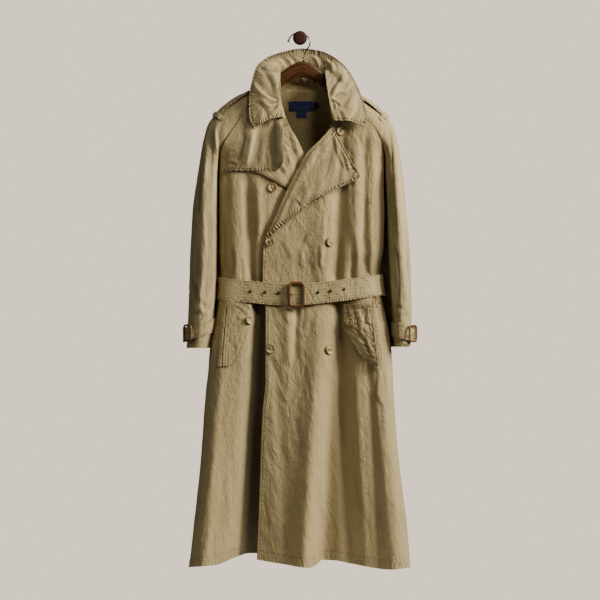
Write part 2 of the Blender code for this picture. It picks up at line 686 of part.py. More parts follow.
def on_front(front, x, z, lift):
    """Points of a front at (x, z), moved out along its normal by a lift."""
    points = np.stack([x, front(x, z), np.broadcast_to(z, x.shape)], -1)
    slope = np.clip((front(x + 1, z) - front(x - 1, z)) / 2, -2.5, 2.5)
    points[..., 1] -= lift * np.hypot(1, slope)
    return points


def storm_points(levels, across):
    z = np.asarray(levels)[:, None]
    seam = by_height(BODY, "left", z) + 1.0 + 4.0 * smoothstep((-280 - z) / 50)
    edge = by_height(STORM_EDGE, "x", z)
    x = seam + (edge - seam) * across
    lift = STORM_LIFT_SEAM + (STORM_LIFT_FREE - STORM_LIFT_SEAM) * smoothstep(across / 0.45)
    return on_front(LEFT_FRONT, x, z, lift)


def build_storm_flap():
    levels = [-160, -182, -206, -235, -264, -290, -312, -332, -345, -353, -358]
    across = np.concatenate([[0], np.linspace(0.05, 1, 11)])
    cloth("storm_flap", storm_points(levels, across), KHAKI, TRIM)


def strip_points(table, front, levels, columns, lift):
    z = np.asarray(levels)[:, None]
    left, right = by_height(table, "left", z), by_height(table, "right", z)
    return on_front(front, left + (right - left) * np.linspace(0, 1, columns), z, lift)


def build_pockets():
    levels = [-719, -740, -762, -784, -806, -828, -850, -868, -880, -885.5]
    for side, flap, welt, front in (("left", FLAP_LEFT, WELT_LEFT, LEFT_FRONT),
                                    ("right", FLAP_RIGHT, WELT_RIGHT, RIGHT_FRONT)):
        free = np.linspace(0, 1, 8) if side == "left" else np.linspace(1, 0, 8)
        lift = FLAP_SEWN + (FLAP_LIFT - FLAP_SEWN) * smoothstep(free / 0.6)
        flap_grid = strip_points(flap, front, levels, 8, lift)
        cloth("pocket_flap_" + side, flap_grid, KHAKI, TRIM)
        welt_grid = strip_points(welt, front, levels[:-2] + [-887], 3, WELT_LIFT)
        cloth("pocket_welt_" + side, welt_grid, KHAKI, TRIM)


# ---------------------------------------------------------------- belt and straps
def outward(ring, distance, closed=True):
    """Move an anticlockwise ring of points outward, in plan."""
    if closed:
        along = np.roll(ring, -1, 0) - np.roll(ring, 1, 0)
    else:
        along = np.gradient(ring, axis=0)
    normal = np.stack([along[:, 1], -along[:, 0], 0 * along[:, 0]], -1)
    return ring + distance * normal / np.linalg.norm(normal, axis=1)[:, None]


def waist_ring(z, angles):
    """Points round the waist, anticlockwise in plan; angle 0 is the middle of the front."""
    left, right, side, front, back = (
        float(by_height(BODY, part, z)) for part in ("left", "right", "side", "front", "back"))
    across, ahead = np.sin(angles), np.cos(angles)
    x = (left + right) / 2 + (right - left) / 2 * across
    bend = (1 - np.abs(across) ** BODY_SQUARENESS) ** (1 / BODY_SQUARENESS)
    y = side + np.where(ahead > 0, front - side, back - side) * bend
    return np.stack([x, y, np.full(len(angles), float(z))], -1)


def belt_middle(x, y):
    """Height of the belt's middle: it sags at the front and runs level round the back."""
    front = smooth_column([row.x for row in BELT_LINE], [row.z for row in BELT_LINE], x)
    return front + (BELT_BACK - front) * smoothstep((y + 75) / 45)


def belt_rows(angles, lift, half_width=BELT_WIDTH / 2, closed=True):
    rows = []
    for rise in (half_width, 0, -half_width):
        ring = outward(waist_ring(BELT_BACK + rise, angles), lift, closed)
        ring[:, 2] = belt_middle(ring[:, 0], ring[:, 1]) + rise
        rows.append(ring)
    return np.stack(rows, 0)


def build_belt():
    round_waist = np.linspace(-math.pi, math.pi, 57)[:-1]
    cloth("belt", belt_rows(round_waist, BELT_LIFT), KHAKI, BELT_WALL, closed=True)
    end = np.radians(np.linspace(*BELT_END, 20))
    rows = belt_rows(end, BELT_LIFT + BELT_WALL + 0.9, BELT_WIDTH / 2 - 1, closed=False)
    cloth("belt_end", rows, KHAKI, BELT_WALL)


def belt_front(x, lift):
    """A point on the front of the belt, moved out by a lift."""
    middle = belt_rows(np.radians(np.arange(-85, 86, 1.0)), BELT_LIFT, closed=False)[1]
    y = np.interp(x, middle[:, 0], middle[:, 1])
    return np.array([x, y - lift, float(belt_middle(x, y))])


def build_buckle():
    centre = belt_front(BUCKLE_X, BELT_WALL + BUCKLE_BAR + 1.85)
    rounded_frame("belt_buckle", centre, (0, -1, 0), 38.6, 63, 9, BUCKLE_BAR, LEATHER)
    tip = centre + np.array([-17.5, -BUCKLE_BAR - 1.7, 2])
    root = centre + np.array([-6, BUCKLE_BAR - 2.1, 2])
    wire("buckle_prong", [root, root * 0.6 + tip * 0.4 + np.array([0, -1.4, 0]), tip], 1.3, BRASS)


def build_d_ring():
    place = belt_front(D_RING_X, D_RING_LIFT)
    centre = (place[0], place[1], place[2] - BELT_WIDTH / 2 - D_RING_TALL / 2 + 4)
    rounded_frame("d_ring", centre, (0.55, -0.83, 0), 16, D_RING_TALL, 6, 1.2, BRASS)


def strap_rows(side, lift, half_width, count=26):
    """Rings round a cuff, anticlockwise, sloping from the inner side to the outer one."""
    heights = np.linspace(13, 15, 21)
    grid = sleeve_points(side, heights, np.linspace(0, 1, count + 1)[:-1])
    grid = grid if side == "right" else grid[:, ::-1]
    plan = grid[10, :, 0]
    share = (plan - plan.min()) / (plan.max() - plan.min())
    inner, outer = STRAP_LINE[side]
    at_left, at_right = (outer, inner) if side == "left" else (inner, outer)
    rows = []
    for rise in (half_width, 0, -half_width):
        z = at_left + (at_right - at_left) * share + rise
        ring = [[np.interp(-z[j], -grid[:, j, 2], grid[:, j, k]) for k in (0, 1)]
                for j in range(count)]
        rows.append(outward(np.column_stack([ring, z]), lift))
    return np.stack(rows, 0)


def build_cuff_straps():
    for side in ("left", "right"):
        rows = strap_rows(side, STRAP_LIFT, STRAP_WIDTH / 2)
        cloth("cuff_strap_" + side, rows, KHAKI, TRIM, closed=True)
        outer = strap_rows(side, STRAP_LIFT + TRIM + 0.6, STRAP_WIDTH / 2 + 2)
        first = KEEPER_COLUMN[side]
        cloth("cuff_keeper_" + side, outer[:, first:first + 2], KHAKI, TRIM)
        facing = np.array(CUFF_BUCKLE_FACING[side])
        middle = outer.mean(0)
        outermost = middle[np.argmax((middle - middle.mean(0)) @ facing)]
        centre = outermost + facing * (CUFF_BAR - CUFF_SEAT[side])
        rounded_frame("cuff_buckle_" + side, centre, tuple(facing), 30, 42, 7, CUFF_BAR, LEATHER)


def build_epaulettes():
    for side, flip in (("left", True), ("right", False)):
        along = np.linspace(1.15, 4.35, 9)
        around = 0.5 + EPAULETTE_HALF * np.linspace(-1, 1, 5)
        base = sleeve_points(side, along, around)
        bow = EPAULETTE_SEWN + 4.6 * np.sin(np.linspace(0, math.pi, 9)) ** 2
        cloth("epaulette_" + side, raised(base, bow[:, None], flip), KHAKI, TRIM, flip=flip)
        along = np.linspace(3.95, 4.2, 3)
        across = np.array([-1.5, -1.12, -0.6, 0, 0.6, 1.12, 1.5])
        base = sleeve_points(side, along, 0.5 + EPAULETTE_HALF * across)
        lift = np.where(np.abs(across) > 1.2, EPAULETTE_SEWN, EPAULETTE_SEWN + TRIM + 1.6)
        cloth("epaulette_keeper_" + side, raised(base, lift, flip), KHAKI, TRIM, flip=flip)


# ---------------------------------------------------------------- buttons and labels
def button(name, place, normal, radius):
    rim, thick = radius * 0.16, BUTTON_THICK
    profile = [(0, thick - 1.1), (radius - 2 * rim, thick - 0.8), (radius - rim, thick),
               (radius, thick * 0.6), (radius - 1.2, 0), (0, 0)]
    obj = turned(name, profile, HORN, 16)
    face_towards(obj, place, normal)


def button_on_front(spot, front, lift, radius):
    """A button square to the cloth under it, and clear of that cloth all round its rim."""
    reach = radius * 0.8
    slope_x = (front(spot.x + reach, spot.z) - front(spot.x - reach, spot.z)) / (2 * reach)
    slope_z = (front(spot.x, spot.z + reach) - front(spot.x, spot.z - reach)) / (2 * reach)
    normal = np.array([float(slope_x), -1, float(slope_z)])
    normal /= np.linalg.norm(normal)
    place = np.array([spot.x, float(front(spot.x, spot.z)), spot.z])
    rise = 0
    for share in (0.5, 1):
        for angle in np.linspace(0, 2 * math.pi, 17)[:-1]:
            x = spot.x + share * radius * math.cos(angle)
            z = spot.z + share * radius * math.sin(angle)
            rise = max(rise, (np.array([x, float(front(x, z)), z]) - place) @ normal)
    button(spot.name, place + normal * (lift + rise), normal, radius)


def build_buttons():
    for spot in BUTTONS:
        lift = LAPEL_FOOT_LIFT if spot.name == "button_lapel" else BUTTON_LIFT
        button_on_front(spot, RIGHT_FRONT, lift, BUTTON_R)
    button_on_front(UNDER_BUTTON, LEFT_FRONT, BUTTON_LIFT, BUTTON_R)
    for spot, front in zip(FLAP_BUTTONS, (LEFT_FRONT, RIGHT_FRONT)):
        button_on_front(spot, front, FLAP_LIFT + BUTTON_LIFT, FLAP_BUTTON_R)


def label_points(left, right, top, low, lift):
    x = np.linspace(left, right, 5)[None, :]
    z = np.linspace(top, low, 3)[:, None]
    x, z = np.broadcast_arrays(x, z)
    return np.stack([x, BACK(x, z) - CLOTH - SEAM - lift, z], -1)


def build_labels():
    cloth("neck_label", label_points(-29, 42, -171, -197, LABEL_WALL), NAVY, LABEL_WALL)
    cloth("size_tab", label_points(-9, 18, -198, -215, LABEL_WALL), NAVY, LABEL_WALL)


clear_scene()
COAT = new_collection("trench_coat")
KHAKI = material("khaki_cotton", (0.46, 0.37, 0.22), 0.85)
KNOB_WOOD = material("knob_wood", (0.07, 0.022, 0.015), 0.45)
HANGER_WOOD = material("hanger_wood", (0.16, 0.05, 0.025), 0.4)
STEEL = material("polished_steel", (0.6, 0.6, 0.6), 0.2, 1.0)
BRASS = material("brass", (0.5, 0.36, 0.14), 0.3, 1.0)
LEATHER = material("tan_leather", (0.35, 0.12, 0.04), 0.5)
HORN = material("horn", (0.62, 0.5, 0.33), 0.3)
NAVY = material("navy_label", (0.012, 0.02, 0.09), 0.7)

build_knob()
build_hook()
build_hanger()
LEFT_FRONT, RIGHT_FRONT, BACK = build_panels()
build_sleeves()
build_collar()
build_lapels()
build_storm_flap()
build_pockets()
build_belt()
build_buckle()
build_d_ring()
build_cuff_straps()
build_epaulettes()
build_buttons()
build_labels()
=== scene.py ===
"""A trench coat hanging from a wooden hanger on a wall knob: the look of every piece.

Millimetres in the tables and on the way to the meshes, where MM turns them into metres.
The wall is the plane Y = 0 and the coat hangs in front of it, at negative Y; +X is to the
viewer's right, +Z is up. "left" and "right" are the viewer's.
"""

import math
from collections import namedtuple

import bpy
import bmesh
import numpy as np
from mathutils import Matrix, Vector


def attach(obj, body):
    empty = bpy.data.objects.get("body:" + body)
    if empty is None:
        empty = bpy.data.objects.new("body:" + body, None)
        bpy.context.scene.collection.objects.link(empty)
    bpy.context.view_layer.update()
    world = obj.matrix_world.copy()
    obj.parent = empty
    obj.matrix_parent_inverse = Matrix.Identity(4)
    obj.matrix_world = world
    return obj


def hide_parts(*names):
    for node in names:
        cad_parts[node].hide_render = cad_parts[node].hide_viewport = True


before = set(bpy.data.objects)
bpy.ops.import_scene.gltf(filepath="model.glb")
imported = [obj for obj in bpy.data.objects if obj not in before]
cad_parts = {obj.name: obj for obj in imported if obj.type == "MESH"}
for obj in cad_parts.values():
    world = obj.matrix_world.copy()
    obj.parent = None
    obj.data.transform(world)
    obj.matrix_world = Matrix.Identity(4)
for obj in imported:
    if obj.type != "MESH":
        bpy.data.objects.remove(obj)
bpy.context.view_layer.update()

MM = 0.001


# ---------------------------------------------------------------- driving sizes, millimetres
CLOTH = 1.8  # panel wall: shell cloth and its facing
UNDERLAP_DEPTH = 7.0  # the covered front lies this far behind the outside of the other
UNDERLAP_ROOM = 4.0  # and this much further behind the lapels
TRIM = 1.4  # wall of flaps, straps and labels
SEAM = 0.3  # gap between pieces that are sewn together
HALF_SEAM = SEAM / 2

NECK_TOP = -130.0  # height of the raglan seams' upper ends
NECK_DIP = 18.0
ARMPIT = -332.0
HEM = -1428.0

KNOB_HEAD_R, KNOB_NECK_R, KNOB_BASE_R = 19.5, 12.4, 16.0
KNOB_BACK, KNOB_HEAD_BACK, KNOB_FRONT = 0.0, -66.0, -84.0
HOOK_R = 1.6
HANG_Y = -62.0  # the hanger's middle plane
HANGER_REACH_LEFT, HANGER_REACH_RIGHT = -219.0, 221.0
BUTTON_R, FLAP_BUTTON_R, BUTTON_THICK = 13.0, 11.3, 3.6
FLAP_SEWN, FLAP_LIFT, WELT_LIFT = 3.0, 3.8, 2.7  # outside of a flap and welt above the front
BUTTON_LIFT, LAPEL_FOOT_LIFT = 0.45, 3.5  # back of a button above the front
BELT_WIDTH, BELT_WALL, BELT_LIFT = 58.0, 2.2, 7.2
BELT_BACK = -668.0  # height of the belt's middle at the back
BELT_END = (-7, 112)  # where the belt's free end starts and stops, degrees round the waist
BUCKLE_X, BUCKLE_BAR, CUFF_BAR = -9.5, 4.2, 2.8
D_RING_X, D_RING_LIFT, D_RING_TALL = 204.0, 8.3, 25.0
STRAP_WIDTH, STRAP_LIFT = 38.0, 2.6
STRAP_LINE = {"left": (-773, -800), "right": (-784, -799)}  # middle at the inner, outer side
CUFF_BUCKLE_FACING = {"left": (-0.8, -0.6, 0), "right": (0.8, -0.6, 0)}
CUFF_SEAT = {"left": 2.0, "right": 0.0}
KEEPER_COLUMN = {"left": 19, "right": 5}
EPAULETTE_HALF = 0.2  # half its width, as a share of the way round the shoulder
EPAULETTE_SEWN = 1.9
LABEL_WALL = 0.8
# walls of the sheets here, a little under those of the solids where these have no room
SHELL, COLLAR_WALL, THIN, BELT_SHEET = 1.3, 1.6, 1.2, 2.0
FAR = 900.0  # no sewn edge is near, in the coordinates of the seams


def rows(kind, *table):
    """A table's rows, each with names for its values."""
    return [kind(*row) for row in table]


# ---------------------------------------------------------------- body sections
# One row for each height: side edges, depth of the side seam, depth of the front and back
# faces, and how far the side has turned round under the arm (90 degrees: closed side seam).
Section = namedtuple("Section", "z left right side front back turn")
BODY = rows(
    Section,
    (-130, -72, 76, -62, -86, -42, 0), (-160, -104, 107, -63, -98, -36, 0),
    (-182, -131, 135, -64, -106, -32, 0), (-206, -153, 165, -65, -112, -29, 0),
    (-235, -173, 195, -67, -118, -26, 0), (-264, -193, 212, -69, -123, -23, 12),
    (-290, -208, 222, -71, -126, -22, 40), (-312, -216, 226, -73, -128, -21, 68),
    (ARMPIT, -219, 228, -74, -129, -20, 90), (-383, -219, 227, -75, -132, -19, 90),
    (-464, -219, 229, -76, -133, -19, 90), (-572, -218, 225, -75, -130, -18, 90),
    (-640, -215, 213, -72, -123, -18, 90), (-706, -220, 222, -73, -122, -17, 90),
    (-772, -231, 236, -76, -127, -16, 90), (-828, -243, 246, -78, -128, -16, 90),
    (-885, -247, 250, -80, -127, -14, 90), (-969, -256, 254, -82, -125, -13, 90),
    (-1147, -269, 268, -86, -121, -11, 90), (-1304, -286, 288, -90, -119, -9, 90),
    (HEM, -300, 299, -94, -118, -8, 90),
)
BODY_SQUARENESS = 3.4  # superellipse exponent of the body's sections

# Inner edges of the fronts: the collar seam, then the lapel's fold, then the buttoned edge.
Edge = namedtuple("Edge", "z x")
LEFT_INNER = rows(
    Edge,
    (-130, -66), (-180, -50), (-227, -33), (-268, -13), (-310, 7), (-365, 28), (-455, 62),
    (-560, 84), (HEM, 82),
)
RIGHT_INNER = rows(
    Edge,
    (-130, 70), (-190, 80), (-234, 86), (-256, 74), (-302, 26), (-410, -32), (-518, -82),
    (-552, -98), (-661, -100), (-715, -92), (-923, -92), (-1012, -100), (-1236, -108), (HEM, -115),
)

# Folds: a trough has a positive depth (into the coat), a ridge a negative one. Each runs
# from its top point to its low point, "left" and "right" are its flank widths at the low
# end, and "start" is the share of that width at the top end.
Fold = namedtuple("Fold", "x_top z_top x_low z_low left right start top low")
RIGHT_FOLDS = rows(
    Fold,
    (214, -330, 214, -700, 72, 36, 1.0, -8, -14), (220, -716, 292, -1500, 80, 34, 1.0, -15, -6),
    (58, -330, 60, -640, 30, 24, 1.0, -3, -8), (114, -250, 102, -648, 17, 21, 1.0, 12, 20),
    (152, -300, 150, -560, 13, 13, 1.0, -3, -6), (176, -300, 172, -600, 10, 10, 1.0, 6, 7),
    (198, -240, 196, -620, 14, 16, 1.0, -4, -7), (119, -560, 116, -652, 7, 7, 1.0, -3, -6),
    (143, -570, 140, -652, 9, 9, 1.0, 7, 11), (182, -580, 180, -652, 8, 8, 1.0, 5, 8),
    (-110, -716, -135, -1500, 80, 64, 0.4, 0, 26), (-34, -716, -30, -850, 16, 14, 0.8, -6, -5),
    (-8, -712, -14, -860, 9, 9, 0.8, 7, 5), (-64, -900, -22, -1480, 20, 20, 0.8, 4, 7),
    (54, -716, 6, -1500, 34, 34, 0.8, -4, -36), (106, -716, 62, -1500, 30, 54, 0.6, 12, 44),
    (150, -930, 180, -1480, 18, 16, 0.7, -5, -8), (186, -900, 229, -1480, 17, 15, 0.7, 8, 16),
    (214, -730, 282, -1500, 62, 34, 0.6, -3, -58), (104, -716, 138, -1500, 22, 44, 0.45, 20, 17),
)
LEFT_FOLDS = rows(
    Fold,
    (-206, -400, -208, -700, 36, 60, 1.0, -6, -8), (-210, -716, -262, -1500, 30, 60, 1.0, -8, 2),
    (-200, -340, -200, -640, 8, 8, 1.0, 4, 5), (-174, -380, -172, -640, 18, 18, 1.0, -3, -6),
    (-143, -392, -130, -645, 13, 14, 1.0, 9, 16), (-113, -416, -108, -560, 12, 12, 1.0, -6, -4),
    (-205, -730, -274, -1500, 38, 36, 0.6, -2, -42),
    (-112, -716, -124, -1500, 56, 150, 0.3, 22, 96),
)
BACK_FOLDS = rows(
    Fold,
    (-150, -420, -165, -620, 18, 18, 1.0, 4, 7), (-70, -400, -60, -620, 22, 22, 1.0, 4, 6),
    (60, -400, 66, -620, 22, 22, 1.0, 4, 7), (150, -420, 168, -620, 18, 18, 1.0, 4, 6),
    (-150, -716, -205, -1500, 26, 34, 0.7, 5, 16), (-40, -716, -66, -1500, 30, 26, 0.7, 5, 13),
    (64, -716, 84, -1500, 26, 36, 0.7, 6, 17), (160, -716, 205, -1500, 28, 26, 0.7, 5, 14),
)
FOLD_FADE = 46.0  # length over which a fold dies away past its ends

# Sleeves. Above the armpit each ring runs from the front raglan seam over the shoulder to
# the back one, so it needs only its outermost point; below, it is a whole ring.
Shoulder = namedtuple("Shoulder", "z left_x left_z right_x right_z")
SHOULDERS = rows(
    Shoulder,
    (-130, -77, -110, 81, -112), (-160, -113, -131, 117, -133), (-182, -150, -153, 153, -155),
    (-206, -190, -179, 193, -181), (-235, -226, -205, 228, -207), (-264, -249, -234, 250, -236),
    (-290, -259, -268, 262, -270), (-312, -266, -302, 268, -304), (ARMPIT, -271, -334, 273, -334),
)
Arm = namedtuple("Arm", "z left_in left_out right_in right_out side front back")
ARMS = rows(
    Arm,
    (-383, -222.5, -279, 231, 279, -77, -143, -16), (-464, -223, -290, 234, 286, -79, -147, -15),
    (-572, -224, -296, 238, 296, -81, -148, -16), (-660, -226, -299, 242, 300, -81, -146, -18),
    (-740, -231, -302, 248, 302, -80, -142, -20), (-790, -238, -305, 250, 301, -79, -136, -23),
    (-829, -245, -306, 250, 298, -78, -130, -26),
)

# Collar stations, from the left front end round the neck to the right front end: where it is
# sewn to the neck, the crest where it turns over (or half way up, where it stands), its edge.
Station = namedtuple("Station", "sewn crest edge")
COLLAR = rows(
    Station,
    ((-35, -121, -224), (-46, -139, -212), (-127, -138, -246)),
    ((-46, -115, -196), (-50, -136, -176), (-138, -130, -204)),
    ((-57, -104, -164), (-54, -126, -140), (-137, -114, -156)),
    ((-68, -86, -127), (-53, -106, -103), (-128, -92, -106)),
    ((-75, -62, -107), (-52, -74, -82), (-117, -64, -76)),
    ((-68, -44.5, -128.5), (-57, -48, -84), (-92, -46, -54)),
    ((-34, -40, -143.6), (-34, -36, -88), (-50, -36, -38)),
    ((2, -39.5, -147.3), (4, -32, -88), (6, -32, -28)),
    ((38, -40, -142.8), (42, -36, -88), (54, -38, -34)),
    ((71, -44.5, -128.5), (70, -50, -88), (98, -50, -55)),
    ((79, -62, -109), (68, -78, -90), (134, -70, -92)),
    ((73, -86, -129), (72, -110, -124), (157, -96, -134)),
    ((80, -108, -170), (79, -130, -166), (174, -116, -180)),
    ((84, -119, -206), (87, -137, -204), (182, -130, -214)),
    ((87, -122, -226), (93, -140, -222), (172, -139, -240)),
)
BACK_STATION = 7
COLLAR_CROWN = 7.0  # how far the turned-down part bulges between crest and edge

# Lapels: rows from the top to the foot, the fold on one side and the free edge on the other.
LapelRow = namedtuple("LapelRow", "fold_x fold_z edge_x edge_z")
LAPEL_RIGHT = rows(
    LapelRow,
    (84, -240, 92, -246), (52, -280, 117, -292), (20, -312, 142, -338), (-4, -356, 162, -373),
    (-25, -396, 98, -408), (-46, -440, 34, -446), (-65, -482, -22, -488), (-82, -520, -62, -520),
    (-96, -549, -90, -548),
)
LAPEL_LEFT = rows(
    LapelRow,
    (-34, -230, -46, -233), (-14, -266, -90, -286), (3, -300, -125, -326), (13, -328, -138, -352),
    (26, -360, -104, -367), (38, -390, -50, -397), (50, -422, 0, -428), (61, -452, 52, -452),
)
Lift = namedtuple("Lift", "fold roll edge")  # distance of a lapel from the front it lies on
ROLL_WIDTH = 14.0

STORM_EDGE = rows(
    Edge,
    (-150, -64), (-200, -50), (-256, -44), (-318, -44), (-338, -47), (-350, -53), (-358, -64),
)
STORM_LIFT_SEAM, STORM_LIFT_FREE = 2.4, 9.5

# Pocket flaps and welts as rows of left and right edges.
Strip = namedtuple("Strip", "z left right")
FLAP_LEFT = rows(
    Strip,
    (-719, -196, -131), (-762, -200, -125), (-800, -203, -141), (-836, -206, -156),
    (-870, -208, -172), (-886, -209, -190),
)
FLAP_RIGHT = rows(
    Strip,
    (-719, 118, 190), (-778, 118, 198), (-806, 135, 202), (-840, 154, 206), (-868, 176, 210),
    (-884, 196, 212),
)
WELT_LEFT = rows(
    Strip,
    (-719, -210, -198), (-800, -217, -205), (-888, -225, -211),
)
WELT_RIGHT = rows(
    Strip,
    (-719, 192, 205), (-800, 204, 217), (-886, 214, 228),
)

BELT_LINE = rows(
    Edge,
    (-667, 213), (-675, 165), (-684, 93), (-692, 12), (-693, -33), (-684, -148), (-676, -218),
)  # the belt's middle, sagging

Spot = namedtuple("Spot", "name x z")
BUTTONS = rows(
    Spot,  # on the overlapping right front
    ("button_top_right", 109, -250), ("button_lapel", -81, -549), ("button_chest_right", 81, -550),
    ("button_low_left", -79, -839), ("button_low_right", 78, -841),
)
UNDER_BUTTON = Spot("button_top_left", -74, -403)
FLAP_BUTTONS = rows(
    Spot,
    ("button_pocket_left", -140, -762), ("button_pocket_right", 139, -767),
)


# ---------------------------------------------------------------- curves through table columns
def smooth_column(at, values, where):
    """A smooth curve through (at, values), without overshoot, read at "where"."""
    at, values = np.asarray(at, float), np.asarray(values, float)
    if at[0] > at[-1]:
        at, values = at[::-1], values[::-1]
    step = np.diff(at)
    slope = np.diff(values) / step
    before, after = slope[:-1], slope[1:]
    same_way = before * after > 0
    inner = np.where(same_way, 2 * before * after / np.where(same_way, before + after, 1), 0)
    tangent = np.concatenate([slope[:1], inner, slope[-1:]])
    where = np.clip(where, at[0], at[-1])
    k = np.clip(np.searchsorted(at, where) - 1, 0, len(step) - 1)
    t = (where - at[k]) / step[k]
    return (
        values[k] * (1 + 2 * t) * (1 - t) ** 2
        + values[k + 1] * t * t * (3 - 2 * t)
        + step[k] * t * (1 - t) * (tangent[k] * (1 - t) - tangent[k + 1] * t)
    )


def by_height(table, name, z):
    return smooth_column([row.z for row in table], [getattr(row, name) for row in table], z)


def height_at(table, x):
    """Height of a line of edges that runs across."""
    return smooth_column([row.x for row in table], [row.z for row in table], x)


def through(points, where):
    """A smooth curve through 3-D points, read at fractional indices."""
    points = np.asarray(points, float)
    index = np.arange(len(points))
    return np.stack([smooth_column(index, points[:, k], where) for k in range(3)], -1)


def smoothstep(t):
    t = np.clip(t, 0, 1)
    return t * t * (3 - 2 * t)


def onset(x, start, length):
    """0 up to a start, and smoothly up to 1 over a length."""
    return smoothstep((x - start) / length)


def bell(off, width, power=2):
    """1 at no distance, dying away past a width, the flatter on top the higher the power."""
    return np.exp(-((off / width) ** power))


def fold_depth(folds, x, z):
    """Sum of the folds' depths at (x, z)."""
    total = np.zeros(np.broadcast(x, z).shape)
    for fold in folds:
        length = fold.z_top - fold.z_low
        t = (fold.z_top - z) / length
        along = np.clip(t, 0, 1)
        off = x - (fold.x_top + (fold.x_low - fold.x_top) * along)
        width = np.where(off < 0, fold.left, fold.right)
        width = width * (fold.start + (1 - fold.start) * along)
        past = np.maximum(-t, t - 1) * length
        fade = 1 - smoothstep(past / FOLD_FADE)
        depth = fold.top + (fold.low - fold.top) * along
        total = total + depth * fade * bell(off, width)
    return total


# ---------------------------------------------------------------- the coat's surfaces
def roundness(x, z):
    """1 on the flat of a section, 0 at the side seam."""
    left, right = by_height(BODY, "left", z), by_height(BODY, "right", z)
    share = np.abs(2 * x - left - right) / (right - left)
    return (1 - np.clip(share, 0, 1) ** BODY_SQUARENESS) ** (1 / BODY_SQUARENESS)


def side_seam_y(z, face):
    """Depth of the seam along a side of the front or back panel: it goes from that panel's
    own face, at the shoulder, round to the middle, under the arm."""
    side, flat = by_height(BODY, "side", z), by_height(BODY, face, z)
    return side + (flat - side) * np.cos(np.radians(by_height(BODY, "turn", z)))


def face_y(x, z, face, folds, inward=1):
    seam, flat = side_seam_y(z, face), by_height(BODY, face, z)
    bend = roundness(x, z)
    depth = inward * fold_depth(folds, x, z)
    return seam + (flat - seam) * bend + depth * bend * onset(-z, 200, 60)


def right_front_y(x, z):
    return face_y(x, z, "front", RIGHT_FOLDS)


def slope_x(front, x, z, reach=1):
    """How fast a front goes back with x."""
    return (front(x + reach, z) - front(x - reach, z)) / (2 * reach)


def left_front_y(x, z):
    """The left front, kept behind the overlapping right front wherever that covers it."""
    own = face_y(x, z, "front", LEFT_FOLDS)
    covered = onset(x - by_height(RIGHT_INNER, "x", z), -34, 30)
    slope = slope_x(right_front_y, x, z, 2)
    gap = UNDERLAP_DEPTH + UNDERLAP_ROOM * onset(z, -480, 40)
    behind = right_front_y(x, z) + gap * np.hypot(1, slope)
    later = 0.5 * (own + behind + np.sqrt((own - behind) ** 2 + 4.0))
    return own + (later - own) * covered * onset(-z, 205, 40)


def back_neckline(x):
    """Height of the back's upper edge: it dips at the middle of the neck."""
    return NECK_TOP - NECK_DIP * np.clip(1 - (x / 74) ** 2, 0, 1)


def sleeve_rings(side):
    """Ring sizes for the whole sleeve: seam point, outer point, depths and turn."""
    rows = []
    for row in SHOULDERS:
        section = {name: float(by_height(BODY, name, row.z)) for name in Section._fields}
        shift = SEAM if side == "right" else -SEAM
        out_x, out_z = getattr(row, side + "_x"), getattr(row, side + "_z")
        rows.append((section[side] + shift, row.z, out_x, out_z, section["side"],
                     section["front"], section["back"], section["turn"]))
    for row in ARMS:
        rows.append((getattr(row, side + "_in"), row.z, getattr(row, side + "_out"), row.z,
                     row.side, row.front, row.back, 90))
    return np.array(rows, float)


def sleeve_points(side, along, around):
    """Points of a sleeve at fractional ring numbers "along"; "around" goes from 0 at the
    front seam to 1 at the back seam."""
    rings = sleeve_rings(side)
    index = np.arange(len(rings))
    columns = [smooth_column(index, rings[:, k], along)[:, None] for k in range(8)]
    in_x, in_z, out_x, out_z, mid, front, back, turn = columns
    turn = np.radians(turn)
    reach = np.sin(turn)
    centre_x = (in_x + reach * out_x) / (1 + reach)
    centre_z = (in_z + reach * out_z) / (1 + reach)
    gap = np.arcsin(np.clip(HALF_SEAM / np.maximum(mid - front, 1), 0, 1)) * reach
    angle = -turn + gap + np.asarray(around)[None, :] * (math.pi + 2 * turn - 2 * gap)
    bow = np.cos(angle)
    depth = np.where(bow > 0, mid - (mid - front) * bow, mid - (back - mid) * bow)
    x = centre_x + np.sin(angle) * (out_x - centre_x)
    z = centre_z + np.sin(angle) * (out_z - centre_z)
    return np.stack([x, depth, z], -1)


def back_y(x, z):
    return face_y(x, z, "back", BACK_FOLDS, -1) - crease_depth(BACK_CREASES, x, z)


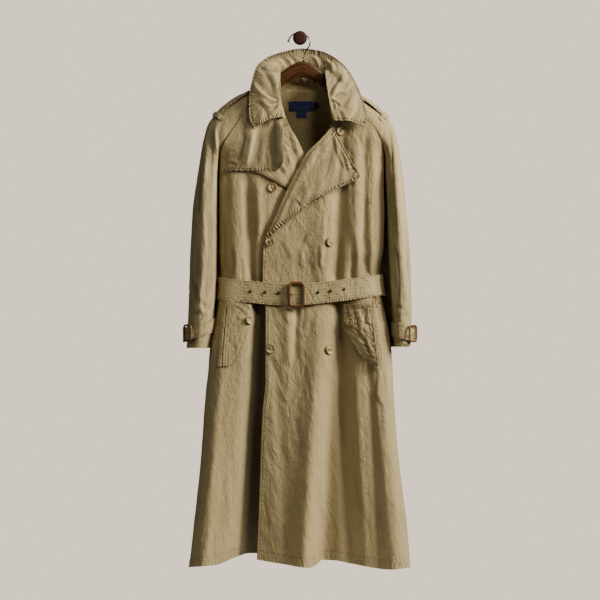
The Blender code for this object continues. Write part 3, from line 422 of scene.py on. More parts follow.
# ---------------------------------------------------------------- creases and fine relief
# A crease runs from (x1, z1) to (x2, z2), bowed sideways by "bend". A positive depth is a
# trough with a lower ridge along its right side, a negative one a ridge with a trough.
Crease = namedtuple("Crease", "x1 z1 x2 z2 bend width depth")
RIGHT_CREASES = rows(
    Crease,
    (-60, -542, -29, -606, 3, 7, 2.6), (29, -512, -12, -596, -4, 8, 2.6),
    (66, -470, 52, -632, 4, 6, -3.4), (48, -560, 60, -646, -4, 5, 3.0),
    (12, -600, 38, -628, 3, 5, 2.0), (-20, -606, -34, -652, 2, 6, -2.0),
    (84, -560, 92, -648, 3, 7, 2.4), (-4, -540, 4, -648, 4, 10, -2.0),
    (130, -290, 138, -520, -4, 6, -2.4), (150, -246, 171, -330, 4, 5, 2.2),
    (186, -300, 190, -470, 4, 6, 2.6), (205, -380, 203, -560, -4, 5, 2.2),
    (166, -420, 158, -560, 3, 6, -2.0), (118, -262, 122, -330, 0, 5, 1.6),
    (204, -888, 200, -960, 3, 5, 3.2), (200, -955, 226, -1002, -5, 6, 3.2),
    (227, -900, 229, -975, 2, 5, 2.6), (243, -880, 239, -960, 0, 6, -2.6),
    (214, -985, 222, -1090, 3, 7, 2.2), (188, -900, 176, -1010, 4, 8, -1.8),
    (-82, -730, -62, -800, 3, 7, 1.8), (-58, -726, -30, -778, -3, 7, 2.2),
    (-26, -728, -6, -800, 4, 8, -2.2), (12, -722, 2, -792, 3, 7, 2.4),
    (40, -730, 30, -810, -3, 8, 2.0), (-88, -860, -58, -920, 4, 7, 2.0),
    (-74, -930, -40, -990, -4, 8, 1.8), (-40, -880, -22, -960, 3, 8, -1.8),
    (-96, -1020, -66, -1082, 4, 8, 2.0), (-58, -1060, -34, -1150, -3, 9, 2.0),
    (-100, -1120, -78, -1196, 3, 7, -1.8), (-66, -1190, -44, -1290, 4, 9, 2.0),
    (-20, -1010, 2, -1120, 4, 9, 1.8), (-104, -1236, -84, -1340, 3, 7, 2.0),
    (-48, -1300, -30, -1398, -3, 8, 2.0), (12, -900, 26, -1010, 4, 8, 1.6),
    (46, -1180, 60, -1330, 3, 9, 1.6), (104, -980, 118, -1100, 4, 9, 2.0),
    (150, -1150, 168, -1300, -3, 9, 2.0), (236, -1180, 252, -1330, 3, 8, 2.0),
    (212, -1250, 224, -1390, 2, 8, 1.8), (130, -1320, 140, -1410, 2, 7, 1.8),
)
LEFT_CREASES = rows(
    Crease,
    (-187, -560, -181, -650, 3, 6, 3.0), (-163, -590, -154, -654, 2, 5, 2.4),
    (-147, -606, -137, -656, 2, 5, -2.0), (-206, -470, -203, -640, 2, 5, 2.6),
    (-196, -360, -193, -470, 3, 6, 2.2), (-120, -470, -116, -600, -3, 7, 1.8),
    (-160, -400, -156, -540, 3, 7, -1.8), (-92, -440, -98, -560, 3, 7, 1.6),
    (-222, -900, -236, -1010, 2, 7, 2.0), (-196, -930, -212, -1080, -3, 9, 1.8),
    (-240, -1100, -256, -1230, 3, 8, 2.0), (-206, -1180, -214, -1340, 3, 9, 1.6),
    (-250, -1290, -268, -1400, 2, 7, 2.2), (-226, -1320, -232, -1416, -2, 7, 1.8),
    (-176, -1120, -184, -1280, 3, 10, 1.4), (-150, -890, -160, -1000, 3, 9, 1.4),
    (-238, -780, -246, -880, 2, 5, 2.0),
)
BACK_CREASES = rows(
    Crease,
    (-180, -590, -172, -655, 3, 6, 2.2), (-120, -600, -112, -655, 2, 6, 2.0),
    (-20, -590, -28, -655, 3, 6, 2.2), (30, -600, 38, -655, 2, 6, -2.0),
    (110, -590, 100, -655, 3, 6, 2.4), (186, -600, 178, -655, 2, 6, 2.0),
    (-190, -690, -204, -800, 3, 7, 2.2), (-96, -690, -104, -790, 3, 8, 2.0),
    (10, -690, 2, -810, 3, 8, -2.0), (96, -690, 108, -800, 3, 8, 2.2),
    (190, -690, 206, -790, 3, 7, 2.0), (-120, -300, -96, -430, 4, 10, 2.0),
    (110, -300, 92, -430, 4, 10, 2.0), (-30, -420, 10, -520, 4, 9, 1.8),
    (-150, -980, -160, -1150, 4, 10, 1.8), (30, -960, 44, -1120, 4, 10, 1.8),
    (150, -1000, 168, -1180, 4, 10, 2.0), (-20, -1180, -30, -1380, 4, 9, 1.8),
)
SLEEVE_LEFT_CREASES = rows(
    Crease,
    (-225, -205, -223, -470, -3, 6, -4.6), (-238, -226, -242, -450, 3, 6, 3.4),
    (-236, -212, -218, -282, 3, 4, 2.4), (-252, -250, -262, -420, 4, 7, -2.6),
    (-262, -300, -274, -500, -4, 7, 2.4), (-238, -470, -252, -640, 4, 9, 3.0),
    (-258, -450, -250, -600, -4, 8, -2.8), (-232, -560, -246, -700, 3, 7, 2.6),
    (-276, -560, -286, -720, 3, 8, 2.4), (-262, -640, -268, -740, -3, 8, -2.4),
    (-288, -700, -252, -730, 3, 6, 2.2), (-290, -742, -246, -756, 4, 6, 2.4),
    (-236, -700, -258, -752, 3, 5, 2.2), (-296, -650, -278, -700, 3, 6, 2.0),
)
SLEEVE_RIGHT_CREASES = rows(
    Crease,
    (246, -250, 262, -560, -4, 9, 4.6), (268, -300, 282, -640, 4, 8, -3.4),
    (240, -226, 250, -330, 3, 5, 2.6), (262, -220, 270, -330, -3, 6, 2.4),
    (256, -560, 266, -700, 4, 8, 3.0), (276, -620, 284, -740, -3, 8, 2.4),
    (246, -640, 254, -740, 3, 6, -2.6), (288, -520, 292, -680, 3, 6, 2.2),
    (250, -724, 290, -740, 3, 6, 2.2), (256, -752, 292, -748, 4, 6, 2.0),
    (234, -340, 242, -480, 3, 5, 2.2),
)
LAPEL_RIGHT_CREASES = rows(
    Crease,
    (84, -258, 120, -362, -4, 8, 2.6), (88, -270, 58, -398, 5, 12, 2.8),
    (107, -300, 127, -366, 3, 5, 2.6), (134, -338, 150, -364, 2, 4, 1.8),
    (48, -300, 6, -408, -5, 15, -2.6), (30, -340, -20, -440, 4, 13, 2.2),
    (74, -340, 40, -430, 4, 10, -1.8), (108, -330, 100, -400, 3, 8, 1.8),
    (-20, -420, -52, -510, 4, 10, 1.8), (10, -400, -8, -460, 3, 8, 1.6),
    (60, -280, 40, -330, 4, 9, 1.6), (94, -262, 100, -320, 2, 5, -1.6),
)
LAPEL_LEFT_CREASES = rows(
    Crease,
    (-30, -250, -6, -330, -4, 8, 2.4), (-40, -290, -16, -380, 4, 9, -2.2),
    (-84, -330, -40, -372, 3, 7, 2.0), (-60, -300, -70, -352, 3, 7, 1.8),
    (-10, -340, 22, -400, 3, 7, 2.0), (-96, -352, -72, -358, 2, 4, 1.6),
    (-20, -372, 10, -418, 2, 5, 1.6),
)
STORM_CREASES = rows(
    Crease,
    (-126, -238, -148, -352, 4, 10, -4.6), (-150, -250, -172, -340, 3, 11, 3.6),
    (-104, -262, -116, -348, -3, 9, 2.6), (-70, -216, -66, -330, -4, 10, 4.2),
    (-206, -336, -170, -346, 3, 5, 2.6), (-198, -300, -204, -348, 2, 5, 2.4),
    (-90, -300, -84, -356, 3, 6, -2.0), (-50, -190, -48, -310, 2, 6, -1.8),
    (-96, -200, -112, -262, 3, 10, 2.0), (-140, -210, -160, -260, 3, 9, 1.8),
)
FLAP_RIGHT_CREASES = rows(
    Crease,
    (140, -724, 160, -812, 4, 5, 3.0), (158, -722, 184, -800, -4, 6, -3.0),
    (176, -726, 170, -790, 3, 5, 2.6), (150, -790, 190, -856, 4, 5, 3.0),
    (172, -800, 196, -872, -3, 5, 2.8), (132, -778, 158, -800, 3, 4, 2.2),
    (190, -740, 196, -820, 3, 4, 2.6), (168, -830, 186, -838, 3, 4, 2.0),
    (124, -726, 128, -760, 2, 4, 2.0), (162, -768, 190, -778, 3, 4, 2.0),
)
FLAP_LEFT_CREASES = rows(
    Crease,
    (-178, -726, -146, -752, 4, 4, 2.2), (-160, -722, -132, -738, 3, 4, 1.8),
    (-172, -762, -150, -766, 2, 4, 1.4), (-190, -800, -176, -872, 3, 7, 1.6),
    (-158, -790, -170, -850, 3, 6, -1.4),
)
COLLAR_CREASES = rows(
    Crease,
    (-56, -88, -116, -76, 5, 7, 3.6), (-104, -84, -72, -150, 6, 9, 4.0),
    (-128, -120, -76, -168, -5, 8, -3.0), (-58, -164, -96, -146, 3, 4, 3.0),
    (-57, -168, -92, -176, 3, 4, 2.8), (-58, -172, -84, -200, 3, 5, 2.6),
    (-118, -170, -86, -214, 4, 9, 2.6), (-100, -190, -112, -236, 3, 8, -2.0),
    (112, -98, 76, -166, -6, 7, 5.0), (98, -70, 128, -122, 5, 9, -3.4),
    (86, -160, 124, -150, 3, 5, 3.0), (84, -168, 108, -188, 3, 4, 2.6),
    (84, -166, 92, -196, 2, 4, 2.2), (140, -130, 112, -190, 5, 9, 2.6),
    (150, -170, 124, -226, 4, 9, -2.2), (104, -196, 118, -232, 3, 6, 2.2),
    (134, -96, 118, -136, 3, 6, 2.4), (60, -54, 118, -122, -6, 13, 7.5),
    (-60, -62, -96, -60, 3, 6, 3.4),
)
STAND_CREASES = rows(
    Crease,  # inside the stand, beside the hanger
    (70, -58, 92, -92, 4, 6, 4.0), (82, -52, 84, -112, -3, 5, -3.0),
    (-64, -56, -40, -84, 4, 6, 3.0), (-40, -50, -20, -78, 3, 6, 2.4),
    (34, -46, 54, -82, 3, 6, 2.6), (-10, -92, 18, -136, 4, 6, 2.2), (30, -92, 8, -134, 4, 6, -2.0),
)


def crease_depth(creases, x, z):
    total = np.zeros(np.broadcast(x, z).shape)
    for crease in creases:
        ahead_x, ahead_z = crease.x2 - crease.x1, crease.z2 - crease.z1
        length = math.hypot(ahead_x, ahead_z)
        t = ((x - crease.x1) * ahead_x + (z - crease.z1) * ahead_z) / length**2
        off = ((x - crease.x1) * ahead_z - (z - crease.z1) * ahead_x) / length
        off = off + crease.bend * 4 * t * (1 - t)
        ends = smoothstep(t / 0.35 + 0.25) * smoothstep((1 - t) / 0.35 + 0.25)
        trough = bell(np.abs(off), 0.8 * crease.width, 1.35)
        beside = bell(np.abs(off + 1.7 * crease.width), 0.95 * crease.width, 1.5)
        total = total + crease.depth * ends * (trough - 0.6 * beside)
    return total


def value_noise(u, v, seed):
    """Smooth random heights between -1 and 1 over (u, v), with one bump to each unit."""
    table = np.random.default_rng(seed).uniform(-1, 1, (97, 89))
    i, j = np.floor(u).astype(int), np.floor(v).astype(int)
    s, t = smoothstep(u - i), smoothstep(v - j)
    low = table[i % 97, j % 89] * (1 - s) + table[(i + 1) % 97, j % 89] * s
    high = table[i % 97, (j + 1) % 89] * (1 - s) + table[(i + 1) % 97, (j + 1) % 89] * s
    return low * (1 - t) + high * t


def crumple(u, v, seed, across, down):
    """Sharp-crested wrinkles, each about "across" by "down", from -1 to 1."""
    bow_u, bow_v = value_noise(u / 70, v / 70, seed + 1), value_noise(u / 70, v / 70, seed + 2)
    first = value_noise(u / across + 0.9 * bow_u, v / down + 0.9 * bow_v, seed)
    second = value_noise(2.1 * u / across + bow_v, 2.1 * v / down + bow_u, seed + 3)
    return 0.7 * (1 - 2.4 * np.abs(first)) + 0.3 * (1 - 2.4 * np.abs(second))


def patches(u, v, seed, size):
    """Where the cloth is more (1) or less (0) worn and creased."""
    return smoothstep(0.5 + 0.9 * value_noise(u / size, v / size, seed))


def puckers(distance, along, pitch, reach, seed):
    """Small gathers square to a sewn edge, dying away from it."""
    shift = 1.3 * value_noise(along / (3.1 * pitch), distance / (2 * reach), seed)
    strength = 0.75 + 0.5 * value_noise(along / (1.7 * pitch), 0 * along, seed + 5)
    wave = np.sin(2 * math.pi * (along / pitch + shift))
    return strength * wave * bell(distance, reach)


def sewn_edge(distance, along, seed, row=4.8, pitch=7.0, reach=9.0, depth=0.6):
    """Depth of the relief along a turned and topstitched edge: the row's groove, the
    gathers across it, and the thick rounded turning outside it."""
    groove = 0.4 * bell(distance - row, 1.7)
    turning = -0.5 * bell(distance - 1.9, 1.6)
    return depth * (puckers(distance, along, pitch, reach, seed) + groove + turning)


def nearest(*edges):
    """Of several (along, away) pairs, the one of the nearest edge at each point."""
    along, away = edges[0]
    for more_along, more_away in edges[1:]:
        closer = more_away < away
        along, away = np.where(closer, more_along + 31.7, along), np.minimum(away, more_away)
    return along, away


def arcs(points):
    """Lengths along the rows and down the columns of a grid."""
    across = np.linalg.norm(np.diff(points, axis=1), axis=2)
    down = np.linalg.norm(np.diff(points, axis=0), axis=2)
    return (np.pad(np.cumsum(across, 1), ((0, 0), (1, 0))),
            np.pad(np.cumsum(down, 0), ((1, 0), (0, 0))))


def square_to_edge(points, run, down):
    """Lengths along the last column of a grid and straight in from it, where the rows
    may meet that edge at a slant."""
    ahead = np.gradient(points[:, -1], axis=0)
    row = points[:, -1] - points[:, -8]
    slant = (ahead * row).sum(1) / (np.linalg.norm(ahead, axis=1) * np.linalg.norm(row, axis=1))
    slant = np.convolve(np.pad(slant, 2, mode="edge"), np.ones(5) / 5, "valid")[:, None]
    left = run[:, -1:] - run
    return down[:, -1:] - left * slant, left * np.sqrt(1 - slant ** 2)


def unit(vectors):
    """The same directions, each 1 long."""
    return vectors / np.maximum(np.linalg.norm(vectors, axis=-1, keepdims=True), 1e-9)


def normals_of(points, flip=False):
    normal = unit(np.cross(np.gradient(points, axis=0), np.gradient(points, axis=1)))
    return -normal if flip else normal


def run_of(line):
    """Length along a line of points, at each of them."""
    return np.concatenate([[0], np.cumsum(np.linalg.norm(np.diff(line, axis=0), axis=1))])


def circle(count):
    """Even angles all round."""
    return np.linspace(0, 2 * math.pi, count, endpoint=False)


def squared(wave, power):
    """A sine or cosine bent towards a square's."""
    return np.sign(wave) * np.abs(wave) ** power


def even_levels(top, low, step, fine_from=None, fine_step=None):
    """Heights from top to low, closer together below "fine_from"."""
    if fine_from is None:
        return np.linspace(top, low, int(round((top - low) / step)) + 1)
    upper = np.linspace(top, fine_from, int(round((top - fine_from) / step)) + 1)
    lower = np.linspace(fine_from, low, int(round((fine_from - low) / fine_step)) + 1)
    return np.concatenate([upper, lower[1:]])


# ---------------------------------------------------------------- node materials
class Finish:
    """A Principled material with helpers that add nodes to it."""

    def __init__(self, name, roughness, metallic=0.0):
        self.made = bpy.data.materials.new(name)
        self.made.use_nodes = True
        self.tree = self.made.node_tree
        self.shader = self.tree.nodes["Principled BSDF"]
        self.shader.inputs["Roughness"].default_value = roughness
        self.shader.inputs["Metallic"].default_value = metallic

    def node(self, kind, sockets, **settings):
        made = self.tree.nodes.new(kind)
        for key, value in settings.items():
            setattr(made, key, value)
        for key, value in sockets.items():
            if isinstance(value, bpy.types.NodeSocket):
                self.tree.links.new(value, made.inputs[key])
            else:
                made.inputs[key].default_value = value
        return made

    def cut(self, scale, angle=0.0):
        """The cloth's own coordinates, metres across and down, scaled after a turn."""
        at = self.node("ShaderNodeUVMap", {}, uv_map="cut").outputs[0]
        turned_at = self.node("ShaderNodeMapping", {"Vector": at, "Rotation": (0, 0, angle)})
        return self.node("ShaderNodeMapping",
                         {"Vector": turned_at.outputs[0], "Scale": scale}).outputs[0]

    def place(self, scale=(1, 1, 1)):
        at = self.node("ShaderNodeNewGeometry", {}).outputs["Position"]
        return self.node("ShaderNodeMapping", {"Vector": at, "Scale": scale}).outputs[0]

    def crest(self):
        """How far a point stands proud, as grid_mesh stores it; below zero it also marks painted
        shade.
        """
        return self.node("ShaderNodeAttribute", {}, attribute_name="crest").outputs["Fac"]

    def gathers(self, pitch, reach):
        """Height of the fine gathers across a sewn edge and of its stitched groove."""
        at = self.node("ShaderNodeUVMap", {}, uv_map="seam").outputs[0]
        parts = self.node("ShaderNodeSeparateXYZ", {"Vector": at}).outputs
        uneven = self.noise(at, 90.0, 2.0)
        turns = self.maths("ADD", self.maths("MULTIPLY", parts[0], 2 * math.pi / pitch),
                           self.maths("MULTIPLY", uneven, 15.0))
        fade = self.ramp(parts[1], 0.0, reach, 1.0, 0.0)
        wave = self.maths("MULTIPLY", self.maths("SINE", turns, 0.0),
                          self.maths("POWER", fade, 1.6))
        off = self.maths("MULTIPLY", self.maths("SUBTRACT", parts[1], 0.0048), 900.0)
        row = self.maths("MULTIPLY", self.maths("EXPONENT", self.maths("MULTIPLY", self.maths(
            "MULTIPLY", off, off), -1.0), 0.0), -0.3)
        return self.maths("ADD", wave, row)

    def noise(self, at, scale, detail=3.0, rough=0.55, warp=0.0):
        return self.node("ShaderNodeTexNoise", {"Vector": at, "Scale": scale, "Detail": detail,
                                                "Roughness": rough, "Distortion": warp}).outputs[0]

    def ramp(self, value, low, high, to_low=0.0, to_high=1.0):
        return self.node("ShaderNodeMapRange", {
            "Value": value, "From Min": low, "From Max": high,
            "To Min": to_low, "To Max": to_high}).outputs[0]

    def maths(self, operation, first, second):
        return self.node("ShaderNodeMath", {0: first, 1: second}, operation=operation).outputs[0]

    def mix(self, share, first, second, blend="MIX"):
        first = (*first, 1) if isinstance(first, tuple) else first
        second = (*second, 1) if isinstance(second, tuple) else second
        return self.node("ShaderNodeMix", {0: share, 6: first, 7: second},
                         data_type="RGBA", blend_type=blend).outputs[2]

    def bump(self, height, distance, strength=1.0, after=None):
        sockets = {"Height": height, "Distance": distance, "Strength": strength}
        if after is not None:
            sockets["Normal"] = after
        return self.node("ShaderNodeBump", sockets).outputs[0]

    def wear(self, colour=None, normal=None, rough=None, sheen=0.0, coat=0.0):
        for name, value in (("Base Color", colour), ("Normal", normal), ("Roughness", rough)):
            if value is not None:
                self.tree.links.new(value, self.shader.inputs[name])
        self.shader.inputs["Sheen Weight"].default_value = sheen
        self.shader.inputs["Coat Weight"].default_value = coat
        return self.made


def khaki_cloth(name, gathered=0.58):
    """Washed cotton twill: a diagonal weave, warp streaks, faded patches, pale worn crests, and
    painted shade, dark brown, in the troughs and wherever the crest is below zero.
    """
    f = Finish(name, 0.88)
    streaks = f.noise(f.cut((1, 0.09, 1)), 520, 2.0, 0.6, 0.3)
    faded = f.noise(f.place(), 9.0, 3.0, 0.6)
    crest = f.crest()
    tone = f.mix(f.ramp(faded, 0.3, 0.7), (0.330, 0.252, 0.112),
                 (0.378, 0.292, 0.132))
    tone = f.mix(f.ramp(streaks, 0.3, 0.75, 0.0, 0.30), tone,
                 (0.43, 0.343, 0.166))
    tone = f.mix(f.ramp(crest, 0.1, 1.0, 0.0, 0.42), tone,
                 (0.53, 0.435, 0.225))
    # painted shade: where the crest is below zero (troughs of the relief, and the left front's
    # recess behind the overlap) the cloth is darkened towards near-black brown
    tone = f.mix(f.ramp(crest, -2.0, -0.1, 0.92, 0.0), tone,
                 (0.11, 0.082, 0.045))
    twill = f.node("ShaderNodeTexWave", {"Vector": f.cut((1, 1, 1), 1.1), "Scale": 330.0,
                                         "Distortion": 0.4, "Detail": 1.0}).outputs["Fac"]
    small = f.noise(f.cut((1, 0.3, 1)), 190, 4.0, 0.62, 0.6)
    slub = f.noise(f.cut((1, 0.12, 1)), 900, 2.0)
    wrinkled = f.noise(f.cut((1, 0.42, 1), 0.3), 70, 5.0, 0.62, 0.9)
    crushed = f.noise(f.cut((1, 0.4, 1), -0.35), 24, 3.0, 0.6, 1.2)
    normal = f.bump(crushed, 0.012, 0.34)
    normal = f.bump(wrinkled, 0.005, 0.68, normal)
    normal = f.bump(small, 0.0016, 0.5, normal)
    normal = f.bump(f.gathers(0.0068, 0.016), 0.0024, gathered, normal)
    normal = f.bump(slub, 0.0004, 0.5, normal)
    normal = f.bump(twill, 0.00018, 0.45, normal)
    return f.wear(tone, normal, sheen=0.12)


def speckled(name, roughness, grain, dark, pale, pores, distance, strength):
    """A matt finish of two mingled tones, with fine pores: their scale and detail."""
    f = Finish(name, roughness)
    tone = f.mix(f.noise(f.place(), grain, 2.0), dark, pale)
    return f.wear(tone, f.bump(f.noise(f.place(), *pores), distance, strength))


def navy_tape():
    f = Finish("navy_label", 0.62)
    weave = f.node("ShaderNodeTexWave", {"Vector": f.cut((1, 1, 1), 0.0), "Scale": 420.0,
                                         "Distortion": 0.3}, bands_direction="Y").outputs["Fac"]
    tone = f.mix(f.noise(f.cut((1, 1, 1)), 700, 2.0), (0.008, 0.014, 0.075), (0.018, 0.031, 0.14))
    return f.wear(tone, f.bump(weave, 0.0002, 0.6), sheen=0.1)


def tan_leather():
    f = Finish("tan_leather", 0.42)
    worn = f.noise(f.place(), 60, 4.0, 0.6)
    tone = f.mix(f.ramp(worn, 0.3, 0.7), (0.055, 0.020, 0.004), (0.15, 0.056, 0.011))
    grain = f.node("ShaderNodeTexVoronoi",
                   {"Vector": f.place(), "Scale": 900.0}).outputs["Distance"]
    crest = f.crest()
    tone = f.mix(f.ramp(crest, 0.0, 1.0, 0.0, 0.55), tone, (0.19, 0.076, 0.017))
    return f.wear(tone, f.bump(grain, 0.0004, 0.35), f.ramp(worn, 0.2, 0.8, 0.34, 0.56), coat=0.15)


def dull_brass():
    f = Finish("brass", 0.32, 1.0)
    tone = f.mix(f.noise(f.place(), 240, 3.0), (0.17, 0.11, 0.045), (0.34, 0.24, 0.11))
    return f.wear(tone, f.bump(f.noise(f.place(), 900, 2.0), 0.0002, 0.3),
                  f.ramp(f.noise(f.place(), 400, 2.0), 0.3, 0.7, 0.22, 0.45))


def polished_steel():
    f = Finish("polished_steel", 0.16, 1.0)
    scuffs = f.noise(f.place((1, 1, 0.15)), 1500, 2.0)
    tone = f.mix(scuffs, (0.15, 0.15, 0.155), (0.30, 0.30, 0.30))
    return f.wear(tone, f.bump(scuffs, 0.00005, 0.3), f.ramp(scuffs, 0.2, 0.8, 0.1, 0.26))


def mottled_horn():
    """Cream horn clouded with brown, darker amber towards the rim, with painted shade, near-black,
    in the thread holes.
    """
    f = Finish("horn", 0.22)
    cloud = f.noise(f.place(), 85, 3.0, 0.55, 1.2)
    crest = f.crest()
    tone = f.mix(f.ramp(cloud, 0.46, 0.57), (0.50, 0.43, 0.205), (0.11, 0.055, 0.017))
    tone = f.mix(f.ramp(crest, 0.0, 1.0, 0.0, 0.95), tone, (0.31, 0.175, 0.032))
    # painted shade: near-black where the crest is below zero, in the thread holes
    tone = f.mix(f.ramp(crest, -1.0, 0.0, 1.0, 0.0), tone, (0.03, 0.016, 0.008))
    return f.wear(tone, f.bump(cloud, 0.0004, 0.3), f.ramp(cloud, 0.3, 0.7, 0.34, 0.5), coat=0.05)


def long_grain(name, dark, pale, roughness, along, coat):
    """Varnished wood with its grain stretched along one way of the surface."""
    f = Finish(name, roughness)
    f.shader.inputs["Specular IOR Level"].default_value = 0.2
    at = f.cut(along)
    lines = f.noise(at, 1.0, 5.0, 0.62, 0.9)
    pores = f.noise(at, 4.2, 3.0, 0.6)
    tone = f.mix(f.ramp(lines, 0.36, 0.64), dark, pale)
    tone = f.mix(f.ramp(pores, 0.52, 0.72, 0.0, 0.55), tone, tuple(c * 0.3 for c in dark))
    return f.wear(tone, f.bump(pores, 0.0003, 0.4),
                  f.ramp(lines, 0.3, 0.7, roughness - 0.06, roughness + 0.12), coat=coat)


# ---------------------------------------------------------------- making pieces
EYE_AWAY, EYE_PLANE, EYE_HEIGHT = 7000.0, -70.0, -707.4  # camera's distance from the sizing plane


def as_seen(points):
    """Points with their X and Z as the tables give them for the sizing plane, drawn in a
    little where they lie nearer to the camera than that."""
    points = np.array(points, float)
    near = EYE_AWAY / (EYE_AWAY + points[..., 1] - EYE_PLANE)
    points[..., 0] /= near
    points[..., 2] = EYE_HEIGHT + (points[..., 2] - EYE_HEIGHT) / near
    return points


def grid_mesh(name, points, flip=False, closed=False, crest=None, seam=None):
    """A mesh over rows and columns of points, with the cloth's coordinates as its UV map "cut",
    those of its nearest sewn edge (along it, away from it) as "seam", and as "crest" how far each
    point stands proud or, below zero, where the finishes paint shade."""
    across, down = arcs(points)
    points = as_seen(points)
    if seam is None:
        seam = (0 * across, 0 * across + FAR)
    along, away = (np.broadcast_to(part, across.shape) for part in seam)
    if crest is None:
        crest = np.zeros(points.shape[:2])
    if flip:
        points, across, down = points[:, ::-1], across[:, ::-1], down[:, ::-1]
        crest, along, away = crest[:, ::-1], along[:, ::-1], away[:, ::-1]
    rows, columns = points.shape[:2]
    number = np.arange(rows * columns).reshape(rows, columns)
    beside = np.roll(number, -1, 1) if closed else number[:, 1:]
    first = number if closed else number[:, :-1]
    faces = np.stack([first[:-1], first[1:], beside[1:], beside[:-1]], -1).reshape(-1, 4)
    mesh = bpy.data.meshes.new(name)
    mesh.from_pydata((points.reshape(-1, 3) * MM).tolist(), [], faces.tolist())
    flat = np.stack([across.ravel(), down.ravel()], -1) * MM
    cut = mesh.uv_layers.new(name="cut")
    cut.data.foreach_set("uv", flat[faces.ravel()].astype(np.float32).ravel())
    sewn = np.stack([along.ravel(), away.ravel()], -1) * MM
    edge = mesh.uv_layers.new(name="seam")
    edge.data.foreach_set("uv", sewn[faces.ravel()].astype(np.float32).ravel())
    stands = mesh.attributes.new("crest", "FLOAT", "POINT")
    stands.data.foreach_set("value", np.clip(crest, -2, 1).astype(np.float32).ravel())
    mesh.shade_smooth()
    beside_edge = np.empty(len(mesh.loops), np.int32)
    mesh.loops.foreach_get("edge_index", beside_edge)
    rim = np.bincount(beside_edge, minlength=len(mesh.edges)) == 1
    mesh.attributes.new("sharp_edge", "BOOLEAN", "EDGE").data.foreach_set("value", rim)
    return mesh


def piece(obj, nodes):
    """The object joins the coat, and stands for CAD nodes."""
    if obj.name not in bpy.context.scene.collection.objects:
        bpy.context.scene.collection.objects.link(obj)
    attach(obj, "root")
    if nodes:
        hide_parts(*nodes)
    return obj


def cloth(name, points, wall, finish=None, flip=False, closed=False, crest=None, nodes=None,
          slot="khaki_cotton", seam=None):
    mesh = grid_mesh(name, points, flip, closed, crest, seam)
    mesh.materials.append(finish or KHAKI)
    obj = bpy.data.objects.new(name, mesh)
    thick = obj.modifiers.new("Wall", "SOLIDIFY")
    thick.thickness = wall * MM
    thick.offset = -1
    if closed:
        points = np.concatenate([points, points[:, :1]], 1)
    return piece(obj, [name.replace("_cloth", "")] if nodes is None else nodes)


def relief(points, depth, flip=False):
    """A grid pressed in by a depth along its own normals."""
    return points - normals_of(points, flip) * np.asarray(depth)[..., None]


def wear_and_shade_of(depth, scale):
    """How far relief stands proud (1), for the worn crests, or lies deep (-1), for painted shade
    in its troughs.
    """
    return np.clip(-np.asarray(depth) / scale, -1, 1)


def pressed(name, base, depth, scale, wall=TRIM, finish=None, flip=False, sewing=(), **more):
    """A piece of cloth from a smooth grid and the relief on it, and its rows of stitches,
    each a distance in from one of its edges."""
    points = relief(base, depth, flip)
    cloth(name + "_cloth", points, wall, finish, flip, crest=wear_and_shade_of(depth, scale), **more)
    if sewing:
        stitches(name + "_stitches", [inset(points, flip, edge, off) for edge, off in sewing])
    return points


def inset(points, flip, edge, offset):
    """The line that runs a distance in from one edge of a grid, and its normals."""
    normal = normals_of(points, flip)
    if edge in ("top", "bottom"):
        points, normal = points.swapaxes(0, 1), normal.swapaxes(0, 1)
    if edge in ("right", "bottom"):
        points, normal = points[:, ::-1], normal[:, ::-1]
    run, both = arcs(points)[0], np.concatenate([points, normal], -1)
    line = np.array([[np.interp(offset, run[k], both[k, :, c]) for c in range(6)]
                     for k in range(len(points))])
    return line[:, :3], line[:, 3:]


STITCH_LONG, STITCH_PITCH, STITCH_THICK = 3.2, 4.4, 0.46


def stitches(name, lines):
    """Short thread stitches end to end along lines of (points, normals)."""
    places = []
    for points, normal in lines:
        run = run_of(points)
        starts = np.arange(STITCH_PITCH / 2, run[-1] - STITCH_LONG, STITCH_PITCH)
        if not len(starts):
            continue
        stations = starts[:, None] + STITCH_LONG * np.array([0, 0.24, 0.76, 1])
        at = np.stack([np.interp(stations, run, points[:, k]) for k in range(3)], -1)
        up = np.stack([np.interp(stations, run, normal[:, k]) for k in range(3)], -1)
        places.append((at, up))
    at = np.concatenate([p[0] for p in places])
    up = unit(np.concatenate([p[1] for p in places]))
    ahead = at[:, -1:] - at[:, :1]
    side = unit(np.cross(np.broadcast_to(ahead, up.shape), up))
    half = STITCH_THICK / 2
    verts = [at[:, 0] - up[:, 0] * 0.15]
    for k in (1, 2):
        middle = at[:, k] + up[:, k] * half * 0.7
        verts += [middle + side[:, k] * half - up[:, k] * half, middle + up[:, k] * half,
                  middle - side[:, k] * half - up[:, k] * half]
    verts += [at[:, 3] - up[:, 3] * 0.15]
    verts = as_seen(np.stack(verts, 1))
    shape = [(0, 1, 2), (0, 2, 3), (7, 5, 4), (7, 6, 5), (1, 4, 5, 2), (2, 5, 6, 3)]
    faces = [tuple(8 * n + c for c in face) for n in range(len(verts)) for face in shape]
    mesh = bpy.data.meshes.new(name)
    mesh.from_pydata((verts.reshape(-1, 3) * MM).tolist(), [], faces)
    mesh.shade_smooth()
    mesh.materials.append(THREAD)
    obj = bpy.data.objects.new(name, mesh)
    return piece(obj, [])


def solid(mesh, finish, nodes, ends_open=False):
    """A turned or swept mesh becomes a closed piece."""
    work = bmesh.new()
    work.from_mesh(mesh)
    bmesh.ops.remove_doubles(work, verts=work.verts, dist=0.00001)
    if ends_open:
        bmesh.ops.holes_fill(work, edges=[e for e in work.edges if e.is_boundary])
    bmesh.ops.recalc_face_normals(work, faces=work.faces)
    work.to_mesh(mesh)
    work.free()
    mesh.shade_smooth()
    mesh.materials.append(finish)
    return piece(bpy.data.objects.new(mesh.name, mesh), nodes)


